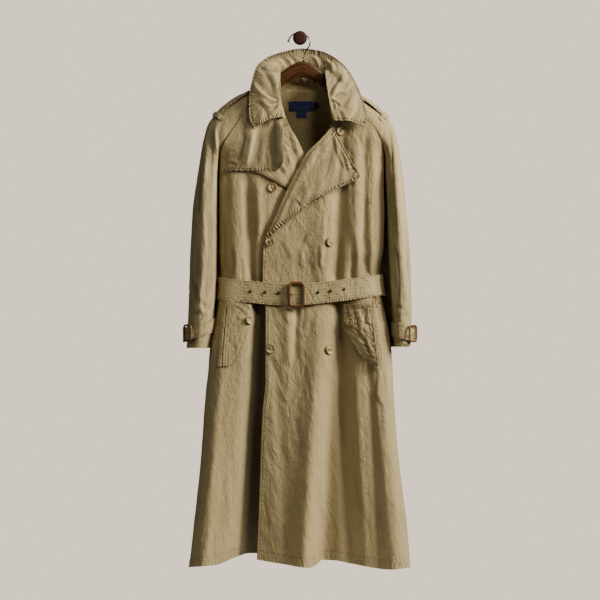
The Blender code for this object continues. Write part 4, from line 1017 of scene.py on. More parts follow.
def tube(name, points, radius, finish, nodes=(), closed=False, sides=10, squash=1.0,
         ends=None, crest=None):
    """A round or flattened bar along a line of points, its ends closed by small caps."""
    points = np.asarray(points, float)
    if closed:
        ahead = np.roll(points, -1, 0) - np.roll(points, 1, 0)
    else:
        ahead = np.gradient(points, axis=0)
    ahead = unit(ahead)
    side = unit(np.cross(ahead, (0.0, 1.0, 0.0)))
    up = np.cross(side, ahead)
    angle = circle(sides)
    size = np.full(len(points), float(radius)) if ends is None else radius * np.asarray(ends)
    ring = (side[:, None] * np.cos(angle)[None, :, None]
            + squash * up[:, None] * np.sin(angle)[None, :, None])
    surface = points[:, None] + size[:, None, None] * ring
    if closed:
        surface = np.concatenate([surface, surface[:1]])
    else:
        caps = [points[0] - ahead[0] * size[0] * 0.5, points[-1] + ahead[-1] * size[-1] * 0.5]
        near = [points[0] - ahead[0] * size[0] * 0.35, points[-1] + ahead[-1] * size[-1] * 0.35]
        surface = np.concatenate([
            caps[0] + 0.001 * ring[:1] * size[0], near[0] + 0.7 * size[0] * ring[:1], surface,
            near[1] + 0.7 * size[-1] * ring[-1:], caps[1] + 0.001 * ring[-1:] * size[-1]])
    solid(grid_mesh(name, surface, False, True, crest), finish, nodes)


def lathe(name, profile, place, normal, finish, nodes, segments=64, shape=None):
    """A turned piece from a profile of (radius, height), smoothed; "shape" adds heights."""
    profile = np.asarray(profile, float)
    angle = circle(segments)[None, :]
    radius, height = profile[:, 0][:, None], profile[:, 1][:, None]
    x, y = radius * np.cos(angle), radius * np.sin(angle)
    z = np.broadcast_to(height, x.shape)
    crest = None
    if shape is not None:
        rise, crest = shape(x, y, z)
        z = z + rise
    ahead = Vector(normal).normalized()
    turn = np.array(ahead.to_track_quat("Z", "Y").to_matrix())
    points = np.stack([x, y, z], -1) @ turn.T + np.asarray(place, float)
    solid(grid_mesh(name, points, False, True, crest), finish, nodes)


# ---------------------------------------------------------------- body panels
HEM_BAND = 25.0
FINE_ROWS = -1396  # a panel's rows lie closer together below this, for the hem's stitching
SEAM_ROWS = (3.0, 8.5)  # the double stitching beside a raglan seam
CUFF_ROW = 14


def panel_levels(step, fine_step):
    """Heights of a panel's rows."""
    return even_levels(NECK_TOP, HEM, step, FINE_ROWS, fine_step)[:, None]


def front_panel(side, inner, front, columns):
    z, share = panel_levels(5.6, 2.3), side_to_edge(columns)
    seam = by_height(BODY, side, z)
    seam = seam - HALF_SEAM * np.sign(seam)
    x = seam + (by_height(inner, "x", z) - seam) * share
    y = front(x, z)
    turn = np.radians(by_height(BODY, "turn", z[:, 0]))
    y[:, 0] = side_seam_y(z[:, 0], "front") - SEAM * np.sin(turn)
    return np.stack([x, y, np.broadcast_to(z, x.shape)], -1)


def side_to_edge(count):
    """Shares from the side seam to the inner edge, closest together where the side turns."""
    turning = [0, 0.002, 0.006, 0.012, 0.021, 0.032]
    return np.concatenate([turning, np.linspace(0.044, 1, count - len(turning))])


def panel_relief(points, seed, soft, rough, rough_mask):
    """Fine relief of a body panel: streaks down the cloth, wrinkles, belt gathers and the puckered
    hem."""
    across, down = arcs(points)
    across = across - across.mean(1, keepdims=True)
    z = points[..., 2]
    worn = patches(across, down, seed + 7, 90)
    depth = soft * (0.45 + 0.75 * worn) * crumple(across, down, seed, 13, 62)
    depth += 0.22 * crumple(across, down, seed + 21, 7, 30)
    depth += rough * rough_mask * (0.5 + 0.7 * worn) * crumple(across, down, seed + 11, 19, 34)
    near_belt = bell(z - BELT_BACK, 52)
    depth += 0.9 * near_belt * crumple(across, down, seed + 31, 9, 58)
    from_hem = down[-1:] - down
    patchy = 0.3 + 0.9 * patches(across, 0 * down, seed + 45, 40)
    depth += 0.85 * patchy * puckers(from_hem - 12, across, 12.0, 17, seed + 41)
    depth += 0.9 * bell(from_hem - HEM_BAND, 1.9)
    depth -= 0.5 * bell(from_hem - 2.0, 2.2)
    return depth


# The hem's own height across each front, where it swings nearer and farther.
RIGHT_HEM = rows(
    Edge,
    (-1409, -114.5), (-1422, -38.6), (-1431, 24.3), (-1424, 42.4), (-1409, 60.2), (-1411, 95.9),
    (-1419, 136.4), (-1435.6, 248.1), (-1431, 288),
)
LEFT_HEM = rows(
    Edge,
    (-1429, -300.5), (-1424, -231), (-1402, -173), (-1391, -137), (-1391, 82),
)
BACK_HEM = rows(
    Edge,
    (-1429, -300), (-1420, -240), (-1388, -190), (-1384, -100), (-1400, -30), (-1402, 60),
    (-1398, 140), (-1426, 250), (-1431, 299),
)


def to_hem(points, hem):
    """A front with its lower part drawn to its hem's own heights."""
    points = points.copy()
    low = height_at(hem, points[-1:, :, 0])
    share = np.clip((-1100 - points[..., 2]) / (-1100 - HEM), 0, 1.05)
    points[..., 2] += (low - HEM) * share**1.5
    return points


def sewn_flat(run, z):
    """0 at a raglan seam, where two panels have to meet, 1 away from it."""
    return 1 - (1 - smoothstep(run / 3.5)) * onset(z - ARMPIT, -12, 10)


def panel_seams(points, run):
    """A panel's sewn edges: its hem and, above the armpit, its raglan seam."""
    across, down = arcs(points)
    z = points[..., 2]
    from_hem = np.abs(down[-1:] - down - 0.5 * HEM_BAND) - 0.5 * HEM_BAND
    return nearest((across, np.maximum(from_hem, 0) + 7.5 + 0 * across),
                   (down, run + 4 + FAR * (z < ARMPIT)))


def raglan_relief(points, run, seed):
    """Gathers along a raglan seam, with its double row of stitching."""
    z = points[..., 2]
    above = onset(z - ARMPIT, -4, 14)
    grooves = 0.5 * sum(bell(run - row, 1.3) for row in SEAM_ROWS)
    return above * (grooves + 0.6 * puckers(run, -z * 1.3, 8.0, 11, seed))


def build_right_front():
    base = front_panel("right", RIGHT_INNER, right_front_y, 128)
    x, z = base[..., 0], base[..., 2]
    run = arcs(base)[0]
    third = onset(-x, -60, 60) * onset(-z, 700, 30)
    chest = onset(z, -640, 60) * onset(-x, -120, 60)
    depth = panel_relief(base, 11, 0.45, 0.42, 0.25 + 0.85 * third + 0.3 * chest)
    depth += raglan_relief(base, run, 61) + 0.55 * crease_depth(RIGHT_CREASES, x, z)
    depth *= (1 - 0.75 * hidden_right(x, z)) * sewn_flat(run, z)
    points = to_hem(relief(base, depth, True), RIGHT_HEM)
    cloth("front_right_cloth", points, SHELL, flip=True, crest=wear_and_shade_of(depth, 2.0),
          seam=panel_seams(points, run))
    band(points)
    panel_stitches("front_right_stitches", points, True)


def hidden_right(x, z):
    """1 where the right front is covered by its pocket or belt."""
    edges = by_height(FLAP_RIGHT, "left", z), by_height(WELT_RIGHT, "right", z)
    return hidden(x, z, *edges, onset(x, 108, 14))


def hidden_left(x, z):
    return hidden(x, z, by_height(WELT_LEFT, "left", z), by_height(FLAP_LEFT, "right", z))


def hidden(x, z, left, right, sure=1):
    """1 where a front is covered by the pocket between two edges, or by the belt."""
    pocket = sure * onset(-z, 706, 8) * onset(z, -892, 8)
    pocket = pocket * onset(x - left, -2, 6) * onset(right - x, -2, 6)
    return np.maximum(pocket, bell(z - belt_middle(x, -120 + 0 * x), 33, 6))


def raglan_line(points, flip, offset, edge="left"):
    line, normal = inset(points, flip, edge, offset)
    keep = line[:, 2] > ARMPIT + 4
    return line[keep], normal[keep]


def panel_stitches(name, points, flip, edges=("left",)):
    """A panel's hem and the double rows along its raglan seams."""
    stitches(name, [inset(points, flip, "bottom", HEM_BAND)]
             + [raglan_line(points, flip, row, edge) for row in SEAM_ROWS for edge in edges])


BAND_TOP = -556.0  # where the lapel's button lies
BAND_BACK = ((-0.2, -2.6), (0.7, -2.2), (1.5, -1.2), (1.7, -0.2))  # out from the edge, and up
BAND_IN = np.array([0.6, 1.6, 2.6, 3.6, 4.6, 5.6, 6.8, 8.0, 9.2, 10.2, 11.0, 11.8, 12.6, 13.4,
                    13.9])  # columns in from the edge


def band(panel):
    """The overlap's stitched edge: a doubled strip that turns round the panel's edge, from
    the lapel button down to the hem."""
    edge = panel[:, ::-1]
    keep = edge[:, 0, 2] < BAND_TOP
    edge, normal = edge[keep], normals_of(panel, True)[:, ::-1][keep]
    heights = -edge[:, 0, 2]
    fine = np.arange(heights[0], heights[-1] + 0.1, 2.2)
    run = arcs(edge)[0]
    lifts = 0.75 * np.sqrt(np.clip(1 - ((BAND_IN - 6.4) / 7.6) ** 6, 0, 1)) + 0.1
    rows = []
    for k in range(len(edge)):
        out = unit(edge[k, 0] - edge[k, 1])
        rolled = [edge[k, 0] + out * o + normal[k, 0] * n for o, n in BAND_BACK]
        inner = [[np.interp(o, run[k], edge[k, :, c]) for c in range(3)] for o in BAND_IN]
        inner = np.array(inner) + normal[k, 0] * lifts[:, None]
        rows.append(np.concatenate([rolled, inner]))
    rows = np.array(rows)
    grid = np.stack([[np.interp(fine, heights, rows[:, j, c]) for c in range(3)]
                     for j in range(rows.shape[1])], 0).transpose(2, 0, 1)
    along = np.broadcast_to(fine[:, None], grid.shape[:2])
    off = np.pad(BAND_IN, (len(BAND_BACK), 0))[None, :] + 0 * along
    live = onset(-off, -13.4, 2.5) * smoothstep(off / 1.0 + 0.4)
    depth = 0.3 * puckers(off - 5, along, 6.6, 9, 71) + 0.25 * puckers(off - 9, along, 11.0, 8, 73)
    depth += 0.7 * bell(off - 4.0, 1.2)
    depth += 0.6 * bell(off - 11.2, 1.2)
    grid = relief(grid, depth * live, False)
    cloth("front_edge_band", grid, 0.6, crest=wear_and_shade_of(depth * live, 1.3), nodes=[],
          seam=(along, np.abs(off - 7) + 7))
    stitches("front_edge_stitches", [(grid[:, k], normals_of(grid)[:, k]) for k in (8, 14)])


def build_left_front():
    base = front_panel("left", LEFT_INNER, left_front_y, 104)
    x, z = base[..., 0], base[..., 2]
    run = arcs(base)[0]
    low = onset(-z, 1180, 160)
    depth = panel_relief(base, 111, 0.42, 0.4, 0.3 + 0.5 * low)
    depth += raglan_relief(base, run, 161) + 0.6 * crease_depth(LEFT_CREASES, x, z)
    depth *= (1 - 0.75 * hidden_left(x, z)) * sewn_flat(run, z)
    points = to_hem(relief(base, depth), LEFT_HEM)
    # painted shade: below the waist, the left front from about 46 mm short of the overlapping
    # right front's edge onwards, the recess in its shadow, gets a crest of -1.9, which paints it
    # near-black
    recess_shade = onset(-z, 560, 160) * onset(x - by_height(RIGHT_INNER, "x", z), -46, 22)
    cloth("front_left_cloth", points, SHELL, seam=panel_seams(points, run),
          crest=wear_and_shade_of(depth, 2.0) * (1 - recess_shade) - 1.9 * recess_shade)
    panel_stitches("front_left_stitches", points, False)


def build_back():
    z = panel_levels(8.2, 3.2)
    left, right = by_height(BODY, "left", z) + HALF_SEAM, by_height(BODY, "right", z) - HALF_SEAM
    even = np.linspace(0, 1, 120)
    share = 0.55 * even + 0.45 * (0.5 - 0.5 * np.cos(even * math.pi))
    x = left + (right - left) * share
    z = np.minimum(z, back_neckline(x) + 6 * (np.abs(x - 2) < 66))
    y = back_y(x, z)
    turn = np.radians(by_height(BODY, "turn", z[:, 0]))
    y[:, 0] = y[:, -1] = side_seam_y(z[:, 0], "back") + SEAM * np.sin(turn)
    base = np.stack([x, y, z], -1)
    run = arcs(base)[0]
    depth = panel_relief(base, 211, 0.5, 0.9, 0.45 + 0 * x)
    depth += raglan_relief(base, run, 261) + raglan_relief(base, run[:, -1:] - run, 263)
    belt = bell(z - BELT_BACK, 33, 6)
    top = onset(-z, 150, 40)
    depth *= (1 - 0.75 * belt) * (0.3 + 0.7 * top)
    depth *= sewn_flat(run, z) * sewn_flat(run[:, -1:] - run, z)
    points = to_hem(relief(base, depth, True), BACK_HEM)
    cloth("back_cloth", points, SHELL, flip=True, crest=wear_and_shade_of(depth, 2.2),
          seam=nearest(panel_seams(points, run), panel_seams(points, run[:, -1:] - run)))
    panel_stitches("back_stitches", points, True, ("left", "right"))


# ---------------------------------------------------------------- sleeves
CUFF_DROP = {"left": 8.0, "right": 5.0}
SEAM_LIP = ((6.0, 2.2), (1.8, 1.7))  # how far the turning reaches under the body, and how deep


def with_lips(points, flip):
    """Adds the turning of the raglan seams, which lies behind the front and the back."""
    normal = normals_of(points, flip)
    above = onset(points[:, 0, 2] - ARMPIT, -6, 12)[:, None]
    sides = []
    for edge, inner in ((0, 1), (-1, -2)):
        out = unit(points[:, edge] - points[:, inner])
        sides.append([points[:, edge] + above * (out * reach - normal[:, edge] * deep)
                      - (1 - above) * normal[:, edge] * 0.3 * (2 if reach > 3 else 1)
                      for reach, deep in SEAM_LIP])
    first, last = sides
    return np.concatenate([np.stack(first, 1), points, np.stack(last[::-1], 1)], 1)


def build_sleeve(side):
    flip = side == "left"
    rings = sleeve_rings(side)
    step = np.hypot(np.diff(rings[:, 2]), np.diff(rings[:, 3]))
    length = np.concatenate([[0], np.cumsum(step)])
    along = np.interp(np.concatenate([np.linspace(0, length[-1] - 30, 132),
                                      np.linspace(length[-1] - 27, length[-1], 12)]),
                      length, np.arange(len(rings)))
    around = np.linspace(0, 1, 120)
    base = sleeve_points(side, along, around)
    inner, level = rings[len(SHOULDERS):, 0], rings[len(SHOULDERS):, 1]
    body = by_height(BODY, side, base[..., 2])
    gap = np.abs(smooth_column(level, inner, base[..., 2])) - np.abs(body)
    under = onset(-base[..., 2], 288, 28) * onset(gap, -4, 8)
    bulge = bell(around[None, :] - 0.885, 0.075, 4)
    base[..., 0] -= np.sign(body) * np.clip(gap + 15, 0, 36) * under * bulge
    base[..., 2] -= CUFF_DROP[side] * onset(-base[..., 2], 690, 130)
    across, down = arcs(base)
    x, z = base[..., 0], base[..., 2]
    creases = SLEEVE_LEFT_CREASES if side == "left" else SLEEVE_RIGHT_CREASES
    top = bell(around[None, :] - 0.5, 1.35 * EPAULETTE_HALF, 6)
    shoulder = 1 - 0.9 * top * onset(z, -262, 20)
    strap = 1 - 0.8 * bell(z - STRAP_LINE[side][1] + 8, 34, 6)
    open_edge = smoothstep(np.minimum(around, 1 - around)[None, :] / 0.03)
    seed = 311 if side == "left" else 411
    lower = onset(-z, 560, 160)
    facing = onset(np.abs(normals_of(base)[..., 1]), 0.15, 0.35)
    depth = 1.15 * crease_depth(creases, x, z) * open_edge * facing
    worn = patches(across, down, seed + 7, 80)
    depth += (0.45 + 0.6 * worn) * 0.65 * crumple(across, down, seed, 13, 60)
    depth += lower * 1.1 * worn * crumple(across, down, seed + 11, 26, 22)
    depth += 0.22 * crumple(across, down, seed + 17, 7, 26)
    seam = np.minimum(across, across[:, -1:] - across)
    above = onset(z - ARMPIT, -4, 14)
    groove = 0.5 * bell(seam - SEAM_ROWS[0], 1.3)
    depth += above * (groove + 0.6 * puckers(seam, down, 8.0, 11, seed + 41))
    from_cuff = down[-1:] - down
    depth *= shoulder * strap * sewn_flat(seam, z)
    depth += 0.7 * puckers(from_cuff - 6, across, 8.0, 11, seed + 51)
    depth += 0.7 * bell(from_cuff - CUFF_ROW, 1.6)
    points = relief(base, depth, flip)
    wide = lambda part: np.pad(part, ((0, 0), (2, 2)), mode="edge")
    along, away = nearest((across, from_cuff + 5), (down, seam + 4 + FAR * (z < ARMPIT)))
    cloth("sleeve_" + side + "_cloth", with_lips(points, flip), SHELL, flip=flip,
          crest=wide(wear_and_shade_of(depth, 2.0)), seam=(wide(along), wide(away)))
    stitches("sleeve_" + side + "_stitches", [inset(points, flip, "bottom", CUFF_ROW)] + [
        raglan_line(points, flip, SEAM_ROWS[0], edge) for edge in ("left", "right")])


# ---------------------------------------------------------------- collar and lapels
def collar_points(where, up):
    sewn, crest, edge = (through([getattr(s, part) for s in COLLAR], where)
                         for part in ("sewn", "crest", "edge"))
    turned_down = 1 - bell(where - BACK_STATION, 2.6)
    zero = 0 * where
    middle = (crest + edge) / 2 + COLLAR_CROWN * np.stack(
        [zero, -0.8 * turned_down, turned_down], -1)
    stand = (sewn + crest) / 2 + np.stack([zero, zero, 4 * turned_down], -1)
    knots = np.stack([sewn, stand, crest, middle, edge], 0)
    heights = np.array([0, 0.16, 0.34, 0.66, 1])
    return np.stack([np.stack([smooth_column(heights, knots[:, j, k], up) for k in range(3)], -1)
                     for j in range(len(where))], 1)


def build_collar():
    where = np.linspace(0, len(COLLAR) - 1, 344)
    up = np.concatenate([np.linspace(0, 0.34, 16)[:-1], np.linspace(0.34, 0.8, 30)[:-1],
                         np.linspace(0.8, 1, 20)])
    base = collar_points(where, up)
    across, down = arcs(base)
    x, z = base[..., 0], base[..., 2]
    fall = onset(up[:, None], 0.36, 0.08)
    turned_down = 1 - bell(where[None, :] - BACK_STATION, 3.4, 4)
    from_edge = down[-1:] - down
    along = np.broadcast_to(across[-1:], across.shape)
    depth = 1.25 * crease_depth(COLLAR_CREASES, x, z) * fall * turned_down
    inner = crease_depth(STAND_CREASES, x, z)
    depth -= 1.2 * inner * (1 - turned_down * fall)
    live = smoothstep(from_edge / 14)
    worn = patches(across, down, 517, 45)
    depth *= (0.25 + 0.75 * live)
    depth += (0.4 + 0.8 * worn) * live * 0.5 * crumple(across, down, 511, 14, 18)
    depth += 0.3 * crumple(across, down, 523, 8, 9)
    depth += sewn_edge(from_edge, along, 531, pitch=7.4, reach=15, depth=1.9)
    for run in (across, across[:, -1:] - across):
        depth += fall * sewn_edge(run, down, 541, pitch=7.4, reach=14, depth=1.6)
    depth += 0.9 * puckers(down, across[:1] + 0 * down, 8.0, 10, 551)
    points = pressed("collar", base, depth, 1.7, COLLAR_WALL, GATHERED, flip=True, seam=nearest(
        (along, from_edge), (down, across + FAR * (1 - fall)),
        (down, across[:, -1:] - across + FAR * (1 - fall)), (across, down)))
    ends = points[up >= 0.5]
    stitches("collar_stitches", [inset(points, True, "bottom", 4.8),
                                 inset(ends, True, "left", 4.8), inset(ends, True, "right", 4.8)])


def lapel_points(table, front, lift, along, across, roll):
    """A turned-back lapel, from its free edge to its fold, and on round a soft roll of
    radius "roll" down to the front it belongs to."""
    index = np.arange(len(table))
    columns = [smooth_column(index, [row[k] for row in table], along)[:, None] for k in range(4)]
    fold_x, fold_z, edge_x, edge_z = columns
    x = fold_x + (edge_x - fold_x) * across
    z = fold_z + (edge_z - fold_z) * across
    rise = smoothstep(np.hypot(x - fold_x, z - fold_z) / ROLL_WIDTH)
    lifted = lift.fold + (lift.roll - lift.fold) * rise + (lift.edge - lift.roll) * rise * across
    ends = smoothstep(np.minimum(along[:, None], index[-1] - along[:, None]) / 1.2)
    lifted = 2.2 + (lifted - 2.2) * ends
    slope = slope_x(front, x, z)
    flat = np.stack([x, front(x, z) - lifted * np.hypot(1, slope), z], -1)
    fold = flat[:, :1]
    ahead = np.gradient(fold[:, 0], axis=0)
    out = unit(np.stack([-ahead[:, 2], 0 * ahead[:, 0], ahead[:, 0]], -1))
    away = fold[:, 0] - flat[:, min(4, flat.shape[1] - 1)]
    out = out * np.sign((out * away).sum(1, keepdims=True))
    turn = np.linspace(math.pi, 0, 8)[:-1]
    deep = lifted[:, :1] * np.hypot(1, slope[:, :1]) - 0.4
    rolled = np.stack([
        fold[:, 0] + out * (roll * ends[:, :1]) * math.sin(t)
        + np.array([0, 1, 0]) * deep * (1 + math.cos(t)) / 2 for t in (math.pi - turn)], 1)
    return np.concatenate([rolled, flat], 1)


def pocket_ground(x, z):
    """The right front without its deepest trough, over which the pocket stands."""
    return face_y(x, z, "front", RIGHT_FOLDS[:-1])


def lapel_ground(x, z):
    """The right front without its troughs, which the big lapel lies across."""
    return face_y(x, z, "front", [fold for fold in RIGHT_FOLDS if fold.low < 0])


def build_lapel(side, table, ground, creases, lift, roll, counts, seed, body, ends, crease,
                crushed, sewing):
    """A lapel: "counts" are its rows and its columns near the fold and beyond, "body" and
    "ends" the widths over which its relief sets in, "crushed" how strong and how large its
    wrinkles are."""
    along = np.linspace(0, len(table) - 1, counts[0])
    across = np.concatenate([np.linspace(0, 0.16, counts[1])[:-1],
                             np.linspace(0.16, 1, counts[2])])
    base = lapel_points(table, ground, lift, along, across, roll)
    run, down = arcs(base)
    from_edge = run[:, -1:] - run
    seam = square_to_edge(base, run, down) if side == "right" else (down, from_edge)
    live = smoothstep(from_edge / 12)
    depth = crease * crease_depth(creases, base[..., 0], base[..., 2])
    depth *= smoothstep(run / body) * (0.3 + 0.7 * live)
    strength, patch, wide, tall, fine = crushed
    worn = patches(run, down, seed + 6, patch)
    depth += (0.4 + 0.7 * worn) * live * strength * crumple(run, down, seed, wide, tall)
    depth += fine * crumple(run, down, seed + 12, 8, 9)
    ends = smoothstep(np.minimum(down, down[-1:] - down) / ends)
    depth *= 0.25 + 0.75 * ends
    depth += ends * sewn_edge(seam[1], seam[0], seed + 20, **sewing)
    return pressed("lapel_" + side, base, depth, 1.9, finish=GATHERED, flip=side == "left",
                   seam=seam)


def build_lapels():
    points = build_lapel(
        "right", LAPEL_RIGHT, lapel_ground, LAPEL_RIGHT_CREASES, Lift(5.4, 12.0, 9.5), 2.6,
        (152, 12, 64), 611, 16, 20, 1.1, (0.45, 50, 17, 22, 0.28),
        {"row": 5.0, "pitch": 8.4, "reach": 17, "depth": 2.4})
    buttonhole("lapel_buttonhole", points, (-11, -433), (4, -452))
    stitches("lapel_right_stitches", [inset(points, False, "right", 5.0),
                                      inset(points[:54], False, "right", 9.0)])
    points = build_lapel(
        "left", LAPEL_LEFT, left_front_y, LAPEL_LEFT_CREASES, Lift(4.0, 5.6, 5.6), 2.2,
        (112, 8, 54), 711, 14, 16, 1.0, (0.55, 40, 16, 20, 0.25), {"reach": 14, "depth": 1.7})
    stitches("lapel_left_stitches", [inset(points, True, "right", 4.8)])


def buttonhole(name, points, start, end):
    """A worked slit from start to end, (x, z), on a grid of points: a ring of close thread over a
    dark piece that paints the shade in the cut."""
    normal, ring = normals_of(points), []
    start, end = np.array(start, float), np.array(end, float)
    ahead = (end - start) / np.linalg.norm(end - start)
    side = np.array([-ahead[1], ahead[0]])
    half = np.linalg.norm(end - start) / 2
    for a in circle(40):
        c, s = math.cos(a), math.sin(a)
        local = (start + end) / 2 + ahead * half * math.copysign(abs(c) ** 0.6, c) + side * 2.0 * s
        away = np.hypot(points[..., 0] - local[0], points[..., 2] - local[1])
        k = np.unravel_index(np.argmin(away), away.shape)
        at = points[k].copy()
        at[0], at[2] = local
        ring.append(at + normal[k] * 0.5)
    ring = np.array(ring)
    ring[:, 1] = 0.5 * ring[:, 1] + 0.25 * (np.roll(ring[:, 1], 3) + np.roll(ring[:, 1], -3))
    tube(name, ring, 0.85, THREAD, closed=True, sides=8)
    # a near-black piece in the slit: painted shade for the cut
    cut = [ring[0] * t + ring[20] * (1 - t) for t in np.linspace(0.06, 0.94, 9)]
    cut = np.array(cut) - [0, 0.5, 0]
    tube(name + "_cut", cut, 1.35, HOLE_SHADE, sides=8,
         ends=[0.3, 0.7, 0.9, 1, 1, 1, 0.9, 0.7, 0.3])


# ---------------------------------------------------------------- storm flap and pockets
def on_front(front, x, z, lift):
    points = np.stack([x, front(x, z), np.broadcast_to(z, x.shape)], -1)
    slope = np.clip(slope_x(front, x, z), -2.5, 2.5)
    points[..., 1] -= lift * np.hypot(1, slope)
    return points


def build_storm_flap():
    levels = even_levels(-160, -358, 2.2, -340, 1.6)
    z = levels[:, None]
    across = np.linspace(0, 1, 96)
    seam = by_height(BODY, "left", z) + 1.0 + 4.0 * onset(-z, 280, 50)
    edge = by_height(STORM_EDGE, "x", z)
    x = seam + (edge - seam) * across
    lift = STORM_LIFT_SEAM + 0.8 + (STORM_LIFT_FREE - STORM_LIFT_SEAM) * smoothstep(across / 0.4)
    low = onset(-z, 330, 28)
    lift = lift * (1 - 0.35 * low) + 1.2 * low * value_noise(x / 17, 0 * x, 815)
    stands = onset(-z, 214, 30) * (1 - 0.75 * onset(-z, 330, 26))
    curl = 18 * np.clip((x + 88) / 42, 0, 1) ** 1.7
    lift = lift + stands * (curl - 4 * bell(x + 92, 15))
    base = on_front(left_front_y, x, z, np.broadcast_to(lift, x.shape))
    scallop = 1.1 * np.sin(2 * math.pi * (x / 15.5 + value_noise(x / 40, 0 * x, 819)))
    base[..., 2] += onset(-z, 318, 40) * (scallop - 7 * onset(-x, 178, 34))
    run, down = arcs(base)
    from_edge, from_low = run[:, -1:] - run, down[-1:] - down
    worn = patches(run, down, 817, 50)
    live = smoothstep(from_low / 12) * smoothstep(from_edge / 10) * smoothstep(across / 0.25)
    depth = 1.15 * crease_depth(STORM_CREASES, x, z)
    depth *= (0.3 + 0.7 * live) * smoothstep(across / 0.2)
    depth += (0.35 + 0.6 * worn) * live * 0.6 * crumple(run, down, 811, 16, 30)
    depth += 0.22 * crumple(run, down, 823, 8, 10)
    depth += sewn_edge(from_low, run, 831, pitch=7.6, reach=15, depth=2.0)
    depth += sewn_edge(from_edge, down, 841, depth=0.3)
    pressed("storm_flap", base, depth, 1.9, finish=GATHERED,
            sewing=(("bottom", 4.8), ("right", 4.8)),
            seam=nearest((run, from_low), (down, from_edge + 9)))


POCKET_GAPE = 13.0  # how far the right pocket's opening stands off the coat
POCKET_TOP, FLAP_LOW, WELT_LOW = -719, -885.5, -887


def build_pocket(side):
    flap, welt, front, creases = {
        "left": (FLAP_LEFT, WELT_LEFT, left_front_y, FLAP_LEFT_CREASES),
        "right": (FLAP_RIGHT, WELT_RIGHT, pocket_ground, FLAP_RIGHT_CREASES)}[side]
    z = even_levels(POCKET_TOP, FLAP_LOW, 2.0)[:, None]
    share = np.linspace(0, 1, 52)
    left, right = by_height(flap, "left", z), by_height(flap, "right", z)
    free = share if side == "left" else 1 - share
    lift = FLAP_SEWN + 1.2 + (2.2 if side == "right" else 1.2) * smoothstep(free / 0.6)
    if side == "right":
        lift = lift + POCKET_GAPE * share**1.3
    base = on_front(front, left + (right - left) * share, z, lift + 0 * z)
    run, down = arcs(base)
    outer = run[:, -1:] - run if side == "left" else run
    sewn = run if side == "left" else run[:, -1:] - run
    from_low = down[-1:] - down
    seed = 911 if side == "left" else 961
    strength = 0.45 if side == "left" else 1.1
    live = smoothstep(outer / 9) * smoothstep(from_low / 9)
    depth = 0.6 * crease_depth(creases, base[..., 0], base[..., 2]) * (0.25 + 0.75 * live)
    depth += strength * live * crumple(run, down, seed, 12, 17)
    depth += 0.25 * crumple(run, down, seed + 3, 7, 9)
    depth += sewn_edge(outer, down, seed + 13, row=4.2, depth=0.75)
    depth += sewn_edge(from_low, run, seed + 17, row=4.2, depth=0.6)
    depth += 0.6 * bell(sewn - 5, 1.3) + 0.6 * bell(sewn - 12, 1.3)
    other = "right" if side == "left" else "left"
    pressed("pocket_flap_" + side, base, depth, 1.9, THIN,
            sewing=((other, 4.2), (side, 5), (side, 12)),
            seam=nearest((down, outer + 3), (run, from_low + 3)))
    z = even_levels(POCKET_TOP, WELT_LOW, 1.7)[:, None]
    share = np.linspace(0, 1, 10)
    left, right = by_height(welt, "left", z), by_height(welt, "right", z)
    bulge = WELT_LIFT + 1.2 * np.sin(share * math.pi) ** 0.6
    bulge = bulge + (POCKET_GAPE if side == "right" else 0)
    base = on_front(front, left + (right - left) * share, z, bulge + 0 * z)
    run, down = arcs(base)
    middle = run - run[:, -1:] / 2
    depth = 0.22 * puckers(middle, down, 7.4, 9, seed + 31)
    depth += 0.25 * crumple(run, down, seed + 33, 7, 16)
    depth += 0.6 * bell(middle, 1.3)
    points = pressed("pocket_welt_" + side, base, depth, 1.5, THIN,
                     seam=(down, np.abs(middle) + 8))
    stitches("pocket_welt_" + side + "_stitches", [(points[:, 5], normals_of(points)[:, 5])])


# ---------------------------------------------------------------- belt
def outward(ring, distance, closed=True):
    if closed:
        along = np.roll(ring, -1, 0) - np.roll(ring, 1, 0)
    else:
        along = np.gradient(ring, axis=0)
    return ring + distance * unit(np.stack([along[:, 1], -along[:, 0], 0 * along[:, 0]], -1))


def waist_ring(z, angles):
    left, right, side, front, back = (
        float(by_height(BODY, part, z)) for part in ("left", "right", "side", "front", "back"))
    across, ahead = np.sin(angles), np.cos(angles)
    x = (left + right) / 2 + (right - left) / 2 * across
    bend = (1 - np.abs(across) ** BODY_SQUARENESS) ** (1 / BODY_SQUARENESS)
    y = side + np.where(ahead > 0, front - side, back - side) * bend
    return np.stack([x, y, np.full(len(angles), float(z))], -1)


def belt_middle(x, y):
    front = height_at(BELT_LINE, x)
    return front + (BELT_BACK - front) * onset(y, -75, 45)


def belt_rows(angles, lift, rises, closed=True):
    rows = []
    for rise in rises:
        ring = outward(waist_ring(BELT_BACK + rise, angles), lift, closed)
        ring[:, 2] = belt_middle(ring[:, 0], ring[:, 1]) + rise
        rows.append(ring)
    return np.stack(rows, 0)


BELT_STITCH_ROWS = (24.0, 15.6, 7.2, -1.2, -9.6, -18.0)


